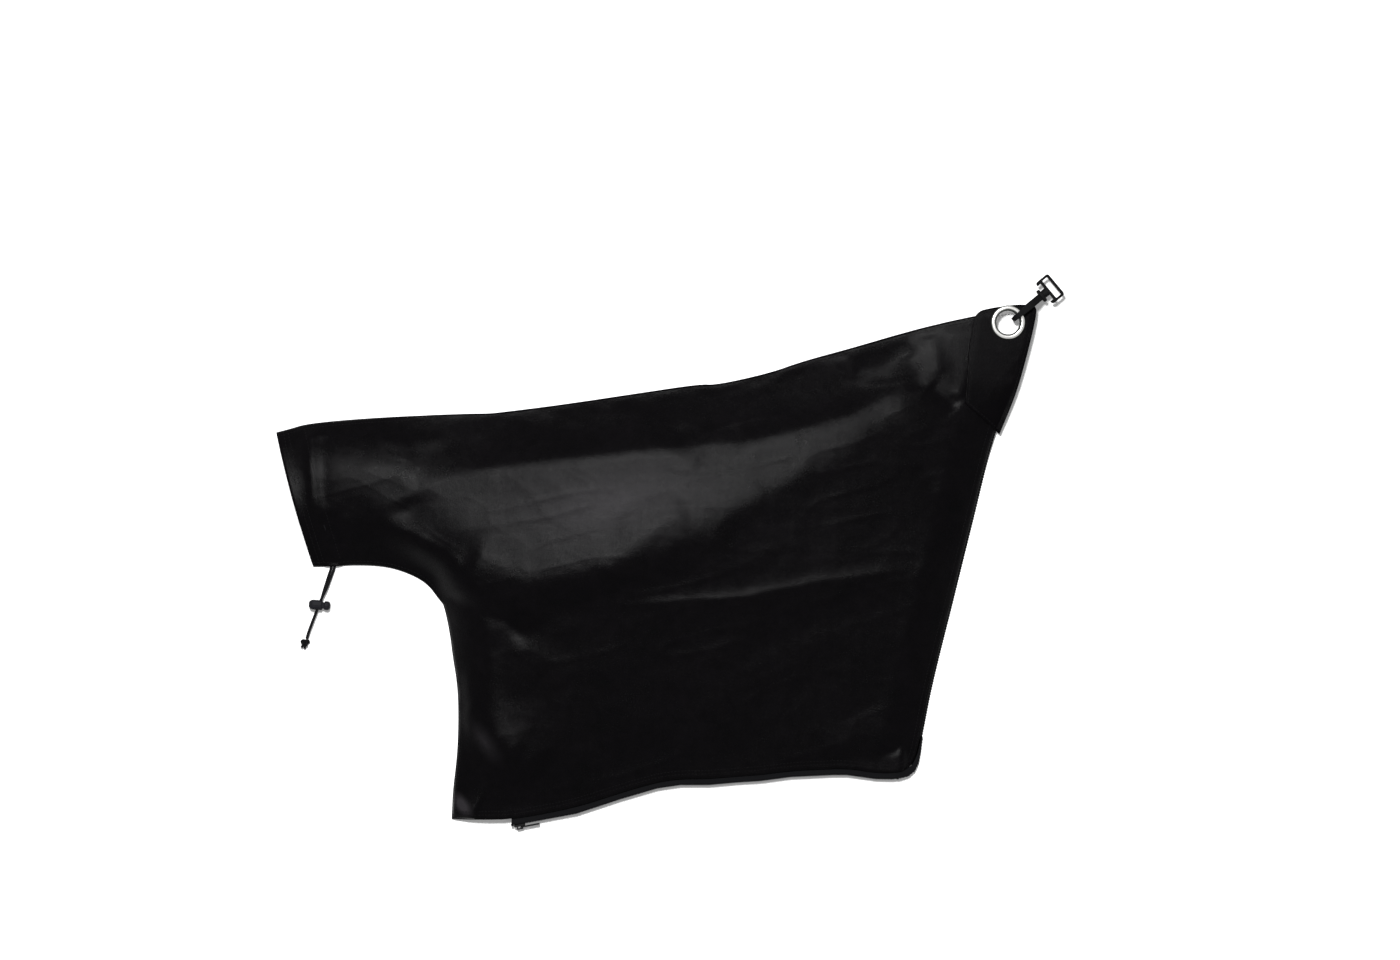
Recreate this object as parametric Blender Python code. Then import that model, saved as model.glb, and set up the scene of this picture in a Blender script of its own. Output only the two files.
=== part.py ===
"""Leaf vacuum collection bag, lying flat on its back panel with its sleeve to the left.

Metres, +Z up. Lengths that come from the flat bag are written in millimetres and multiplied by MM.
The frame's origin is on the floor, under the middle of the bag's own box (its free cord left out).
"""

import math

import bmesh
import bpy
from mathutils import Matrix, Vector
from mathutils.bvhtree import BVHTree
from mathutils.geometry import intersect_point_line

MM = 0.001

# Cloth and the room between layers
CLOTH = 0.7 * MM
LAYER_GAP = 0.3 * MM
PATCH_GAP = 0.65 * MM

# The filled-out shape of the front panel
BILLOW = 44.0 * MM
SIDE_ROLL = 42.0 * MM
SLEEVE_BILLOW = 31.0 * MM
SEAM_BLEND = 3.0
SLEEVE_ROLL = 110.0 * MM
SLEEVE_FORM_END = -318.0 * MM
SLEEVE_FORM_FADE = 75.0 * MM
MOUTH_SHARE = 0.86
MOUTH_FADE = 90.0 * MM
FOLD_FADE = 14.0 * MM
TAB_FLAT = 34.0 * MM
TAB_SWELL = 110.0 * MM
TAB_LIFT_REACH = 150.0 * MM
DRAPE_REACH = 3.0 * MM

# Eyelet in the hanging corner
EYELET_CENTRE = Vector((337.0 * MM, 227.0 * MM))
EYELET_BORE_RADIUS = 11.75 * MM
EYELET_BARREL_WALL = 0.65 * MM
EYELET_FLANGE_RADIUS = 17.0 * MM
EYELET_FLANGE_HEIGHT = 2.0 * MM
EYELET_ROLL_RADIUS = 14.6 * MM
EYELET_ROLL_HEIGHT = 1.0 * MM
WASHER_RADIUS = 16.5 * MM
WASHER_THICKNESS = 0.8 * MM
ROUND_STEPS = 36

# Swivel clip; s runs along its axis from the bow to the strap loop
CLIP_ANGLE = math.radians(40.0)
CLIP_SIDE_OFFSET = -1.3 * MM
CLIP_AXIS_HEIGHT = 14.0 * MM
HOOK_WIDTH = 7.0 * MM
HOOK_TIP_WIDTH = 4.6 * MM
HOOK_HALF_HEIGHT = 11.0 * MM
HOOK_LIMB = 5.5 * MM
HOOK_BOW_CENTRE = 12.3 * MM
HOOK_EYE_CORNER = 1.6 * MM
HOOK_NECK_FACE = 31.5 * MM
HOOK_FLANGE_START = 38.3 * MM
HOOK_FLANGE_THICKNESS = 2.6 * MM
HOOK_FLANGE_RADIUS = 7.0 * MM
HOOK_EDGE_ROUND = 0.7 * MM
STUD_RADIUS = 2.2 * MM
STUD_HEAD_RADIUS = 3.6 * MM
STUD_HEAD_LENGTH = 2.0 * MM
SWIVEL_GAP = 0.3 * MM
LOOP_WIDTH = 27.0 * MM
LOOP_LENGTH = 15.9 * MM
LOOP_THICKNESS = 4.2 * MM
LOOP_START = 42.3 * MM
LOOP_CORNER = 2.6 * MM
STRAP_SLOT_WIDTH = 22.0 * MM
STRAP_SLOT_LENGTH = 6.4 * MM
LOOP_BAR = 2.8 * MM
LOOP_NOTCH_DEPTH = 4.0 * MM
LOOP_LEG = 3.6 * MM
LOOP_BOSS_RADIUS = 4.0 * MM

# Drawcord and the casing that holds it inside the mouth
CORD_DIAMETER = 2.8 * MM
CORD_POINTS = 72
CASING_GAP = 0.8 * MM
CASING_INSET = 20.0 * MM
CASING_WIDTH = 18.0 * MM
CASING_END = 29.0 * MM
CASING_SHOULDER = 4.5 * MM
CORD_PLAY = 0.45 * MM
EXIT_RISE = 3.6 * MM
EXIT_HALF_WIDTH = 5.0 * MM
EXIT_FADE = 6.0 * MM
CORD_EXIT = Vector((-336.8 * MM, -16.2 * MM))
CORD_PIECES = ("drawcord", "cord_lock")

# Cord lock; its own x runs from the closed end of the body to the button
LOCK_CENTRE = Vector((-350.0 * MM, -55.0 * MM, 6.0 * MM))
LOCK_TILT = math.radians(-5.0)
LOCK_CORD_OFFSET = -0.7 * MM
LOCK_BODY_START = -10.7 * MM
LOCK_BODY_END = 2.4 * MM
LOCK_BODY_DEPTH = 10.0 * MM
LOCK_BODY_HEIGHT = 12.0 * MM
LOCK_WALL = 1.5 * MM
OVAL_POWER = 0.6
LOCK_RUNNING_GAP = 0.3 * MM
LOCK_CORD_SLOT_WIDTH = 3.5 * MM
LOCK_CORD_SLOT_HEIGHT = 6.5 * MM
SLOT_SKEW_ROOM = 0.9 * MM
LOCK_TRAVEL = 2.5 * MM
LOCK_PLUNGER_TAIL = 1.6 * MM
LOCK_BUTTON_LENGTH = 5.6 * MM
LOCK_BUTTON_DEPTH = 9.0 * MM
LOCK_BUTTON_HEIGHT = 10.8 * MM
SPRING_WIRE = 0.5 * MM
SPRING_RADIUS = 1.9 * MM
SPRING_TURNS = 3.5
KNOT_CENTRE = Vector((-364.75 * MM, -92.55 * MM, 4.5 * MM))
KNOT_RADIUS = 4.4 * MM

# Zip along the bottom edge
ZIP_REACH = 6.2 * MM
COIL_THICKNESS = 2.2 * MM
COIL_ROW_HEIGHT = 2.5 * MM
COIL_GAP = 0.3 * MM
TAPE = 0.5 * MM
TAPE_RISE = 4.5 * MM
TAPE_LAP = 4.0 * MM
ZIP_START_X = -155.0 * MM
ZIP_END_X = 226.0 * MM
TAPE_TAIL = 4.0 * MM
ZIP_LEVEL = 17.0 * MM
ZIP_RISE_DEPTH = 22.0 * MM
ZIP_OPEN_FROM = -181.0 * MM
ZIP_OPEN_TO = 238.0 * MM
ZIP_FADE_START = 37.0 * MM
ZIP_FADE_END = 5.0 * MM
SLIDER_LENGTH = 11.0 * MM
SLIDER_PLATE = 1.2 * MM
SLIDER_GAP = 0.35 * MM
SLIDER_FLANGE = 1.0 * MM
SLIDER_POST = 3.0 * MM
SLIDER_BACK = 1.0 * MM
SLIDER_MOUTH = 0.8 * MM
SLIDER_CROWN_HEIGHT = 3.2 * MM
SLIDER_CROWN_LENGTH = 6.4 * MM
SLIDER_CROWN_WIDTH = 2.2 * MM
CROWN_BAR = 1.2 * MM
PULL_LENGTH = 19.0 * MM
PULL_WIDTH = 6.0 * MM
PULL_THICKNESS = 1.2 * MM
PULL_EYE_WALL = 1.3 * MM
PULL_WINDOW = 8.5 * MM
STOP_LENGTH = 2.4 * MM
SLIDER_RUN = 48.0 * MM

# How far a cutter reaches past what it cuts
CUTTER_REACH = 40.0 * MM

# Flat outline, in millimetres; each run starts where the one before it ends
LIP_TOP = (-394.0, 117.5)
LIP_BOTTOM = (-357.0, -16.5)
SLEEVE_TOP_END = (-200.0, 136.3)
INNER_CORNER = (-227.0, -54.0)
FOLD_LINE_END = (292.0, -12.0)
TAB_TIP = (361.2, 236.5)
BOTTOM_LEFT = (-218.5, -265.5)
BOTTOM_RIGHT = (243.0, -214.0)
SLEEVE_TOP = [LIP_TOP, (-382, 120.5), (-362, 126.5), (-305, 131.5), (-240, 135), SLEEVE_TOP_END]
BODY_TOP = [
    SLEEVE_TOP_END, (-182, 136.5), (-170, 137.5), (-110, 145), (-30, 157), (30, 166), (46, 165),
    (100, 177), (130, 188), (180, 201.5), (240, 219), (290, 231.0), (337, 239.5), (353, 240.7), TAB_TIP,
]
RIGHT_UPPER = [TAB_TIP, (356.5, 215), (344, 165), (335, 142), (325, 119), (322.5, 110), (317, 91),
               (305, 40), FOLD_LINE_END]
RIGHT_LOWER = [FOLD_LINE_END, (280, -61), (270, -100), (260, -142), (255, -168), (251.5, -186),
               (247.5, -204), BOTTOM_RIGHT]
BOTTOM = [
    BOTTOM_LEFT, (-181, -269), (-158, -268.5), (-95, -256.8), (-50, -242), (-14, -231.5), (10, -228),
    (38, -228), (66, -225.5), (90, -224), (120, -220), (162, -218), (177, -218), (192, -220),
    (206, -222), (222, -222.3), (234, -220), BOTTOM_RIGHT,
]
LEFT_LOWER = [INNER_CORNER, (-224, -64), (-220, -84), (-217, -108), (-213, -132), (-211.5, -156),
              (-212, -192), (-214, -216), (-217, -240), BOTTOM_LEFT]
SLEEVE_BOTTOM = [LIP_BOTTOM, (-332, -16.5), (-325, -15.3), (-310, -15), (-295, -15.5), (-280, -17.5),
                 (-265, -22), (-250, -29), (-240, -37), (-232, -48), INNER_CORNER]
FOLD_LINE = [INNER_CORNER, (-185, -66), (-149, -70), (-110, -59), (-70, -53), (-20, -52), (73, -45),
             (158, -29), (266, -15), FOLD_LINE_END]
PATCH_TOP = [(303, 231.5), (308, 238), (315, 240.5), (337, 244), (353, 245.2), (364, 242.7)]
PATCH_RIGHT = [(364, 242.7), (366, 239), (361, 214), (348, 164), (339, 140), (329, 116)]
PATCH_LEFT = [(303, 231.5), (298, 200), (294, 146)]
PATCH_BOTTOM = [(294, 146), (329, 116)]

# Grid stations, as shares of a run's length
SLEEVE_STATIONS = (0.0, 0.065, 0.12, 0.18, 0.24, 0.34, 0.5, 0.67, 0.84, 1.0)
BODY_STATIONS = (0.0, 0.03, 0.08, 0.14, 0.2, 0.26, 0.32, 0.38, 0.44, 0.5, 0.56, 0.62, 0.68, 0.74, 0.8, 0.86,
                 0.92, 0.972, 1.0)
UPPER_ROWS = 11
LOWER_STATIONS = (0.0, 0.12, 0.24, 0.36, 0.48, 0.6, 0.72, 0.83, 0.93, 1.0)
PATCH_CELLS = 8

# Lines over the filled front panel, from the top seam down: points in millimetres, and height over BILLOW
FORM_LINES = {
    "shoulder": [(-394, 84, 0.39), (-330, 84, 0.45), (-270, 78, 0.52), (-229, 73, 0.57), (-180, 80, 0.59),
                 (-101, 91, 0.64), (-20, 99, 0.66), (80, 107, 0.66), (140, 120, 0.64), (180, 133, 0.59),
                 (248, 166, 0.48), (290, 195, 0.3), (366, 220, 0.18)],
    "crest": [(-394, 34, 0.55), (-330, 34, 0.61), (-270, 16, 0.7), (-229, -6, 0.82), (-143, -30, 0.97),
              (-85, -22, 1.0), (-20, -2, 0.98), (50, 28, 0.9), (100, 58, 0.83), (150, 92, 0.76),
              (180, 106, 0.72), (230, 132, 0.6), (270, 150, 0.48), (300, 162, 0.36), (366, 180, 0.23)],
}
LOWER_LINES = {
    "cross fold": [(-227, -54, 0.55), (-149, -70, 0.7), (-70, -53, 0.8), (0, -50, 0.77), (80, -44, 0.7),
                   (158, -29, 0.61), (266, -15, 0.43), (292, -12, 0.36)],
    "lower middle": [(-220, -165, 0.36), (-150, -160, 0.54), (0, -140, 0.5), (120, -130, 0.43),
                     (262, -125, 0.3)],
}

# Folds of the front panel: points in millimetres, height, half width, both in millimetres
FOLDS = {
    "shoulder edge": ([(-229, 72), (-101, 92), (80, 108), (180, 134), (248, 168)], 2.0, 18.0),
    "hem ridge": ([(-357, 118), (-354, 40)], 3.0, 8.0),
    "hem hollow": ([(-344, 118), (-341, 42)], -2.5, 9.0),
    "mouth ridge": ([(-352, 30), (-318, 7)], 4.0, 7.0),
    "mouth hollow": ([(-334, 31), (-321, 20), (-304, -6)], -4.0, 8.0),
    "armpit crease": ([(-226, -52), (-149, -72), (-133, -98)], -6.5, 9.0),
    "armpit ridge": ([(-150, -52), (-112, -68)], 3.5, 9.0),
    "cross fold": ([(-70, -52), (-20, -51), (73, -44), (158, -28), (262, -14)], 4.0, 11.0),
    "tab ridge": ([(293, 222), (296, 182), (291, 164), (286, 146)], 5.0, 8.0),
    "tab hollow": ([(264, 159), (284, 140)], -4.0, 8.0),
    "shoulder ridge": ([(262, 215), (268, 178)], 3.0, 9.0),
    "corner streak": ([(-203, -162), (-178, -206), (-165, -219)], 4.5, 10.0),
    "corner flap": ([(-214, -241), (-197, -264)], 2.5, 6.0),
    "side streak": ([(274, 52), (286, 10)], 3.0, 9.0),
    "band dip": ([(0, 112), (34, 92), (75, 104)], -2.5, 14.0),
}

# Drawcord's route, one end of the knot to the other, in millimetres
CORD_ROUTE = [
    (-363.1, -88.5, 3.0), (-361.4, -83.0, 4.0), (-359.7, -78.2, 4.45), (-355.6, -67.4, 4.45),
    (-350.8, -54.8, 4.45), (-348.2, -48.0, 4.45), (-345.6, -39.0, 4.0), (-342.2, -27.0, 3.2),
    (-338.9, -15.8, 2.7), (-340.4, -8.0, 2.8), (-343.8, -0.4, 2.9), (-348.6, 17.0, 2.9),
    (-353.9, 36.2, 2.9), (-359.2, 55.5, 2.9), (-364.6, 74.8, 2.9), (-369.4, 92.1, 2.9),
    (-373.2, 99.4, 2.9), (-375.6, 104.9, 2.9), (-374.9, 109.9, 3.2), (-371.8, 112.2, 3.9),
    (-367.6, 111.9, 5.0), (-364.4, 108.0, 6.9), (-363.8, 102.0, 9.8), (-363.6, 93.7, 13.1),
    (-358.8, 76.4, 17.7), (-353.4, 57.1, 20.0), (-348.1, 37.8, 18.7), (-342.8, 18.6, 14.3),
    (-338.0, 1.2, 8.0), (-335.5, -7.6, 4.1), (-334.6, -15.8, 2.7), (-338.6, -27.0, 4.4),
    (-343.2, -38.5, 6.4), (-347.2, -46.6, 7.5), (-350.8, -54.8, 7.55), (-355.6, -67.4, 7.55),
    (-359.7, -78.2, 7.55), (-361.4, -83.0, 7.1), (-363.1, -88.5, 6.2),
]


def clear_scene():
    """Remove every object of the scene that is open."""
    for item in list(bpy.data.objects):
        bpy.data.objects.remove(item, do_unlink=True)


def finish(name, colour, roughness, metallic=0.0):
    """A Principled material of one colour."""
    material = bpy.data.materials.new(name)
    material.use_nodes = True
    shader = material.node_tree.nodes["Principled BSDF"]
    shader.inputs["Base Color"].default_value = (*colour, 1.0)
    shader.inputs["Roughness"].default_value = roughness
    shader.inputs["Metallic"].default_value = metallic
    return material


def smooth(value):
    """Smooth step from 0 to 1."""
    held = min(max(value, 0.0), 1.0)
    return held * held * (3.0 - 2.0 * held)


def add_mesh(name, points, faces, material, smooth_faces=True):
    """A named mesh object with its faces turned outward."""
    mesh = bpy.data.meshes.new(name)
    mesh.from_pydata([tuple(point) for point in points], [], faces)
    work = bmesh.new()
    work.from_mesh(mesh)
    bmesh.ops.recalc_face_normals(work, faces=work.faces)
    work.to_mesh(mesh)
    work.free()
    mesh.materials.append(material)
    if smooth_faces:
        mesh.shade_smooth()
        mesh.set_sharp_from_angle(angle=math.radians(40.0))
    item = bpy.data.objects.new(name, mesh)
    bpy.context.scene.collection.objects.link(item)
    return item


def as_helper(item):
    """Hide a cutter or an added shape, which only a Boolean reads."""
    item.hide_render = True
    item.display_type = "WIRE"
    return item


def boolean(item, other, operation):
    """Cut or join one object with a helper."""
    step = item.modifiers.new(f"{operation.lower()} {other.name}", "BOOLEAN")
    step.operation = operation
    step.object = as_helper(other)


def soften(item, width, segments=2):
    """Round an object's edges."""
    step = item.modifiers.new("round edges", "BEVEL")
    step.width = width
    step.segments = segments
    step.limit_method = "ANGLE"
    step.angle_limit = math.radians(40.0)


def place(item, matrix):
    """Put an object, built about its own origin, where it belongs."""
    item.matrix_world = matrix
    return item


def resample(run, shares):
    """Points along a polyline at the given shares of its length."""
    points = [Vector(point) for point in run]
    lengths = [0.0]
    for start, end in zip(points, points[1:]):
        lengths.append(lengths[-1] + (end - start).length)
    found = []
    for share in shares:
        target = share * lengths[-1]
        index = 0
        while index < len(points) - 2 and lengths[index + 1] < target:
            index += 1
        step = (target - lengths[index]) / (lengths[index + 1] - lengths[index])
        found.append(points[index].lerp(points[index + 1], step))
    return found


def coons(top, bottom, left, right):
    """Grid of points between four runs; rows go from top to bottom."""
    columns = len(top) - 1
    rows = len(left) - 1
    grid = []
    for j in range(rows + 1):
        t = j / rows
        row = []
        for i in range(columns + 1):
            s = i / columns
            across = top[i] * (1 - t) + bottom[i] * t
            down = left[j] * (1 - s) + right[j] * s
            corners = (top[0] * (1 - s) + top[-1] * s) * (1 - t) + (bottom[0] * (1 - s) + bottom[-1] * s) * t
            row.append(across + down - corners)
        grid.append(row)
    return grid


def even(count):
    """Evenly spaced shares from 0 to 1."""
    return [index / count for index in range(count + 1)]


def metres(run):
    """A run of millimetre pairs in metres."""
    return [Vector(point) * MM for point in run]


SEAMS = [metres(run) for run in (SLEEVE_TOP + BODY_TOP[1:], RIGHT_UPPER + RIGHT_LOWER[1:], BOTTOM,
                                 LEFT_LOWER, SLEEVE_BOTTOM)]
SIDE_SEAMS = [metres(run) for run in (RIGHT_UPPER + RIGHT_LOWER[1:], LEFT_LOWER, SLEEVE_BOTTOM)]
LIP = metres([LIP_TOP, LIP_BOTTOM])
BOTTOM_EDGE = metres(BOTTOM)
LIP_UP = (LIP[0] - LIP[1]).normalized()
LIP_LENGTH = (LIP[0] - LIP[1]).length
LIP_IN = Vector((LIP_UP.y, -LIP_UP.x))


def distance_to(point, run):
    """Shortest way from a point of the plane to a polyline."""
    best = 1.0
    for start, end in zip(run, run[1:]):
        foot, share = intersect_point_line(point, start, end)
        foot = start if share < 0 else end if share > 1 else Vector((foot.x, foot.y))
        best = min(best, (point - foot).length)
    return best


def seam_distance(point):
    """Way to the seams, rounded off where two are about as near."""
    total = sum(max(distance_to(point, seam) / MM, 0.01) ** -SEAM_BLEND for seam in SEAMS)
    return MM * total ** (-1.0 / SEAM_BLEND)


FOLD_RUNS = [(metres(points), height * MM, width * MM) for points, height, width in FOLDS.values()]


def tab_lift(point):
    """Height of the back panel, which the clip holds up at the eyelet."""
    reach = ((point - EYELET_CENTRE).length - TAB_LEVEL) / TAB_LIFT_REACH
    return TAB_LIFT * smooth(1.0 - reach)


def edge_rise(point):
    """Height that the front panel's edge keeps open over the zip and at the cord's exit."""
    after_start = smooth(1.0 + (point.x - ZIP_OPEN_FROM) / ZIP_FADE_START)
    before_end = smooth(1.0 - (point.x - ZIP_OPEN_TO) / ZIP_FADE_END)
    near_zip = smooth(1.0 - (distance_to(point, BOTTOM_EDGE) - ZIP_LEVEL) / ZIP_RISE_DEPTH)
    from_exit = (point - CORD_EXIT).length - EXIT_HALF_WIDTH
    at_exit = smooth(1.0 - from_exit / EXIT_FADE)
    return max(ZIP_RISE * after_start * before_end * near_zip, EXIT_RISE * at_exit)


def value_at(line, x, place):
    """A line's own value at a station x, in metres; its ends hold on beyond it."""
    if x <= line[0][0] * MM:
        return line[0][place]
    for start, end in zip(line, line[1:]):
        if x <= end[0] * MM:
            share = (x - start[0] * MM) / ((end[0] - start[0]) * MM)
            return start[place] * (1.0 - share) + end[place] * share
    return line[-1][place]


def form_height(point):
    """Height of the filled form, straight from line to line down the bag."""
    found = [(value_at(SLEEVE_TOP + BODY_TOP[1:], point.x, 1) * MM, 0.0)]
    lines = list(FORM_LINES.values())
    if point.x >= INNER_CORNER[0] * MM:
        lines += list(LOWER_LINES.values())
    found += [(value_at(line, point.x, 1) * MM, value_at(line, point.x, 2) * BILLOW) for line in lines]
    if point.x >= INNER_CORNER[0] * MM:
        found.append((value_at(BOTTOM, point.x, 1) * MM, ZIP_RISE))
    else:
        found.append((value_at(SLEEVE_BOTTOM, point.x, 1) * MM, 0.0))
    for (high, above), (low, below) in zip(found, found[1:]):
        if point.y >= low:
            share = min(max((high - point.y) / (high - low), 0.0), 1.0)
            return above * (1.0 - share) + below * share
    return found[-1][1]


def billow(point):
    """Clear height between the two panels."""
    seam = seam_distance(point)
    crown = math.sin(0.5 * math.pi * min(seam / SLEEVE_ROLL, 1.0)) ** 0.75
    sides = min(distance_to(point, side) for side in SIDE_SEAMS)
    roll = math.sin(0.5 * math.pi * min(sides / SIDE_ROLL, 1.0)) ** 0.75
    mouth = 1.0 - (1.0 - MOUTH_SHARE) * smooth(1.0 - distance_to(point, LIP) / MOUTH_FADE)
    tab = smooth(((point - EYELET_CENTRE).length - TAB_FLAT) / TAB_SWELL)
    formed = smooth((point.x - SLEEVE_FORM_END) / SLEEVE_FORM_FADE)
    height = (SLEEVE_BILLOW * crown * (1.0 - formed) + form_height(point) * roll * formed) * mouth * tab
    hem = CASING_INSET + 0.5 * CASING_WIDTH
    free = smooth(seam / FOLD_FADE) * tab * smooth((distance_to(point, LIP) - hem) / FOLD_FADE)
    for run, fold, width in FOLD_RUNS:
        height += free * fold * math.exp(-((distance_to(point, run) / width) ** 2))
    return max(height, 0.0)


def front_under(point):
    """Height of the front panel's inner face."""
    return tab_lift(point) + CLOTH + LAYER_GAP + max(billow(point), edge_rise(point))


def shell(name, grids, lower, thickness, material):
    """Closed sheet over joined grids of plan points, from its lower face up by its thickness."""
    index = {}
    plan = []
    quads = []

    def number(point):
        key = (round(point.x, 7), round(point.y, 7))
        if key not in index:
            index[key] = len(plan)
            plan.append(Vector((point.x, point.y)))
        return index[key]

    for grid in grids:
        for above, below in zip(grid, grid[1:]):
            for i in range(len(above) - 1):
                quads.append([number(above[i]), number(above[i + 1]), number(below[i + 1]), number(below[i])])
    heights = [lower(point) for point in plan]
    count = len(plan)
    points = [(point.x, point.y, height) for point, height in zip(plan, heights)]
    points += [(point.x, point.y, height + thickness) for point, height in zip(plan, heights)]
    halves = []
    for a, b, c, d in quads:
        if abs(heights[a] - heights[c]) < abs(heights[b] - heights[d]):
            halves += [[a, b, c], [a, c, d]]
        else:
            halves += [[a, b, d], [b, c, d]]
    sides = {(a, b) for half in halves for a, b in zip(half, half[1:] + half[:1])}
    rim = [(a, b) for (a, b) in sides if (b, a) not in sides]
    faces = [half[::-1] for half in halves]
    faces += [[corner + count for corner in half] for half in halves]
    faces += [[a, b, b + count, a + count] for a, b in rim]
    return add_mesh(name, points, faces, material)


def bag_grids():
    """The sleeve, the upper body and the lower body as grids that share their borders."""
    columns = BODY_STATIONS
    upper = even(UPPER_ROWS)
    middle = resample([SLEEVE_TOP_END, INNER_CORNER], upper)
    fold = resample(FOLD_LINE, columns)
    sleeve = coons(resample(SLEEVE_TOP, SLEEVE_STATIONS), resample(SLEEVE_BOTTOM, SLEEVE_STATIONS),
                   resample([LIP_TOP, LIP_BOTTOM], upper), middle)
    body = coons(resample(BODY_TOP, columns), fold, middle, resample(RIGHT_UPPER, upper))
    base = coons(fold, resample(BOTTOM, columns), resample(LEFT_LOWER, LOWER_STATIONS),
                 resample(RIGHT_LOWER, LOWER_STATIONS))
    return [[[point * MM for point in row] for row in grid] for grid in (sleeve, body, base)]


def turned(name, profile, material, steps=ROUND_STEPS):
    """A ring turned about its own Z from a closed profile of (radius, height) pairs."""
    points = []
    faces = []
    count = len(profile)
    for step in range(steps):
        angle = 2 * math.pi * step / steps
        points += [(radius * math.cos(angle), radius * math.sin(angle), height) for radius, height in profile]
    for step in range(steps):
        here = step * count
        there = (step + 1) % steps * count
        for i in range(count):
            j = (i + 1) % count
            faces.append([here + i, there + i, there + j, here + j])
    return add_mesh(name, points, faces, material)


def solid_of_turning(name, profile, material, steps=ROUND_STEPS):
    """A closed solid turned about its own Z; the profile starts and ends on the axis."""
    points = [(0.0, 0.0, profile[0][1])]
    inner = profile[1:-1]
    count = len(inner)
    for step in range(steps):
        angle = 2 * math.pi * step / steps
        points += [(radius * math.cos(angle), radius * math.sin(angle), height) for radius, height in inner]
    points.append((0.0, 0.0, profile[-1][1]))
    last = len(points) - 1
    faces = []
    for step in range(steps):
        here = 1 + step * count
        there = 1 + (step + 1) % steps * count
        faces.append([0, there, here])
        faces.append([last, here + count - 1, there + count - 1])
        for i in range(count - 1):
            faces.append([here + i, there + i, there + i + 1, here + i + 1])
    return add_mesh(name, points, faces, material)


def plate(name, outline, thickness, material):
    """A flat plate about its own XY plane from a counter-clockwise outline."""
    count = len(outline)
    half = 0.5 * thickness
    points = [(x, y, -half) for x, y in outline] + [(x, y, half) for x, y in outline]
    faces = [list(range(count))[::-1], list(range(count, 2 * count))]
    faces += [[i, (i + 1) % count, (i + 1) % count + count, i + count] for i in range(count)]
    return add_mesh(name, points, faces, material, smooth_faces=False)


def block(name, low, high, material):
    """A box between two corners."""
    outline = [(low[0], low[1]), (high[0], low[1]), (high[0], high[1]), (low[0], high[1])]
    item = plate(name, outline, high[2] - low[2], material)
    item.data.transform(Matrix.Translation((0.0, 0.0, 0.5 * (low[2] + high[2]))))
    return item


def rounded(width, height, radius, steps=4):
    """Outline of a rectangle with round corners about the origin."""
    outline = []
    for corner in range(4):
        turn = 0.5 * math.pi * corner
        sign_x = 1 if corner in (0, 3) else -1
        sign_y = 1 if corner in (0, 1) else -1
        for step in range(steps + 1):
            angle = turn + 0.5 * math.pi * step / steps
            outline.append((sign_x * (0.5 * width - radius) + radius * math.cos(angle),
                            sign_y * (0.5 * height - radius) + radius * math.sin(angle)))
    return outline


def sweep(name, path, section, material):
    """A bar with a closed (outward, up) section along a path of plan points."""
    points = []
    count = len(section)
    for index, here in enumerate(path):
        before = path[max(index - 1, 0)]
        after = path[min(index + 1, len(path) - 1)]
        along = (after - before).normalized()
        outward = Vector((along.y, -along.x))
        for reach, height in section:
            spot = here + outward * reach
            points.append((spot.x, spot.y, height))
    faces = [list(range(count)), list(range((len(path) - 1) * count, len(path) * count))[::-1]]
    for index in range(len(path) - 1):
        start = index * count
        for i in range(count):
            j = (i + 1) % count
            faces.append([start + i, start + j, start + count + j, start + count + i])
    return add_mesh(name, points, faces, material)


def smooth_curve(route, count):
    """Points evenly spaced on a Catmull-Rom curve through a route."""
    points = [Vector(point) for point in route]
    ends = [2 * points[0] - points[1]] + points + [2 * points[-1] - points[-2]]
    dense = []
    for a, b, c, d in zip(ends, ends[1:], ends[2:], ends[3:]):
        for step in range(12):
            t = step / 12
            dense.append(0.5 * (2 * b + (c - a) * t + (2 * a - 5 * b + 4 * c - d) * t ** 2
                                + (3 * b - a - 3 * c + d) * t ** 3))
    dense.append(points[-1])
    return resample(dense, even(count - 1))


def tube(name, path, diameter, resolution, material):
    """A round cord or wire along a path, with closed ends."""
    curve = bpy.data.curves.new(name, "CURVE")
    curve.dimensions = "3D"
    curve.bevel_depth = 0.5 * diameter
    curve.bevel_resolution = resolution
    curve.use_fill_caps = True
    curve.materials.append(material)
    spline = curve.splines.new("POLY")
    spline.points.add(len(path) - 1)
    for knot, point in zip(spline.points, path):
        knot.co = (*point, 1.0)
    item = bpy.data.objects.new(name, curve)
    bpy.context.scene.collection.objects.link(item)
    return item


# Sizes that follow from the ones above
EYELET_BARREL_RADIUS = EYELET_BORE_RADIUS + EYELET_BARREL_WALL
EYELET_HOLE_RADIUS = EYELET_BARREL_RADIUS + LAYER_GAP
TAB_STACK = 4 * CLOTH + LAYER_GAP + 2 * PATCH_GAP
EYELET_TOP = TAB_STACK + LAYER_GAP + EYELET_FLANGE_HEIGHT
HOOK_EYE_HALF = HOOK_HALF_HEIGHT - HOOK_LIMB
PATCH_FLOOR = CLIP_AXIS_HEIGHT + HOOK_EYE_HALF - LAYER_GAP - EYELET_TOP
TAB_LIFT = PATCH_FLOOR + CLOTH + PATCH_GAP
TAB_LEVEL = EYELET_FLANGE_RADIUS + 4.0 * MM
ZIP_CENTRE_HEIGHT = CLOTH + LAYER_GAP + TAPE + TAPE_RISE
TAPE_TOP = ZIP_CENTRE_HEIGHT + TAPE_RISE + TAPE
ZIP_RISE = TAPE_TOP - CLOTH
CORD_DIRECTION = (Vector(CORD_ROUTE[4]) - Vector(CORD_ROUTE[3])).normalized()


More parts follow.
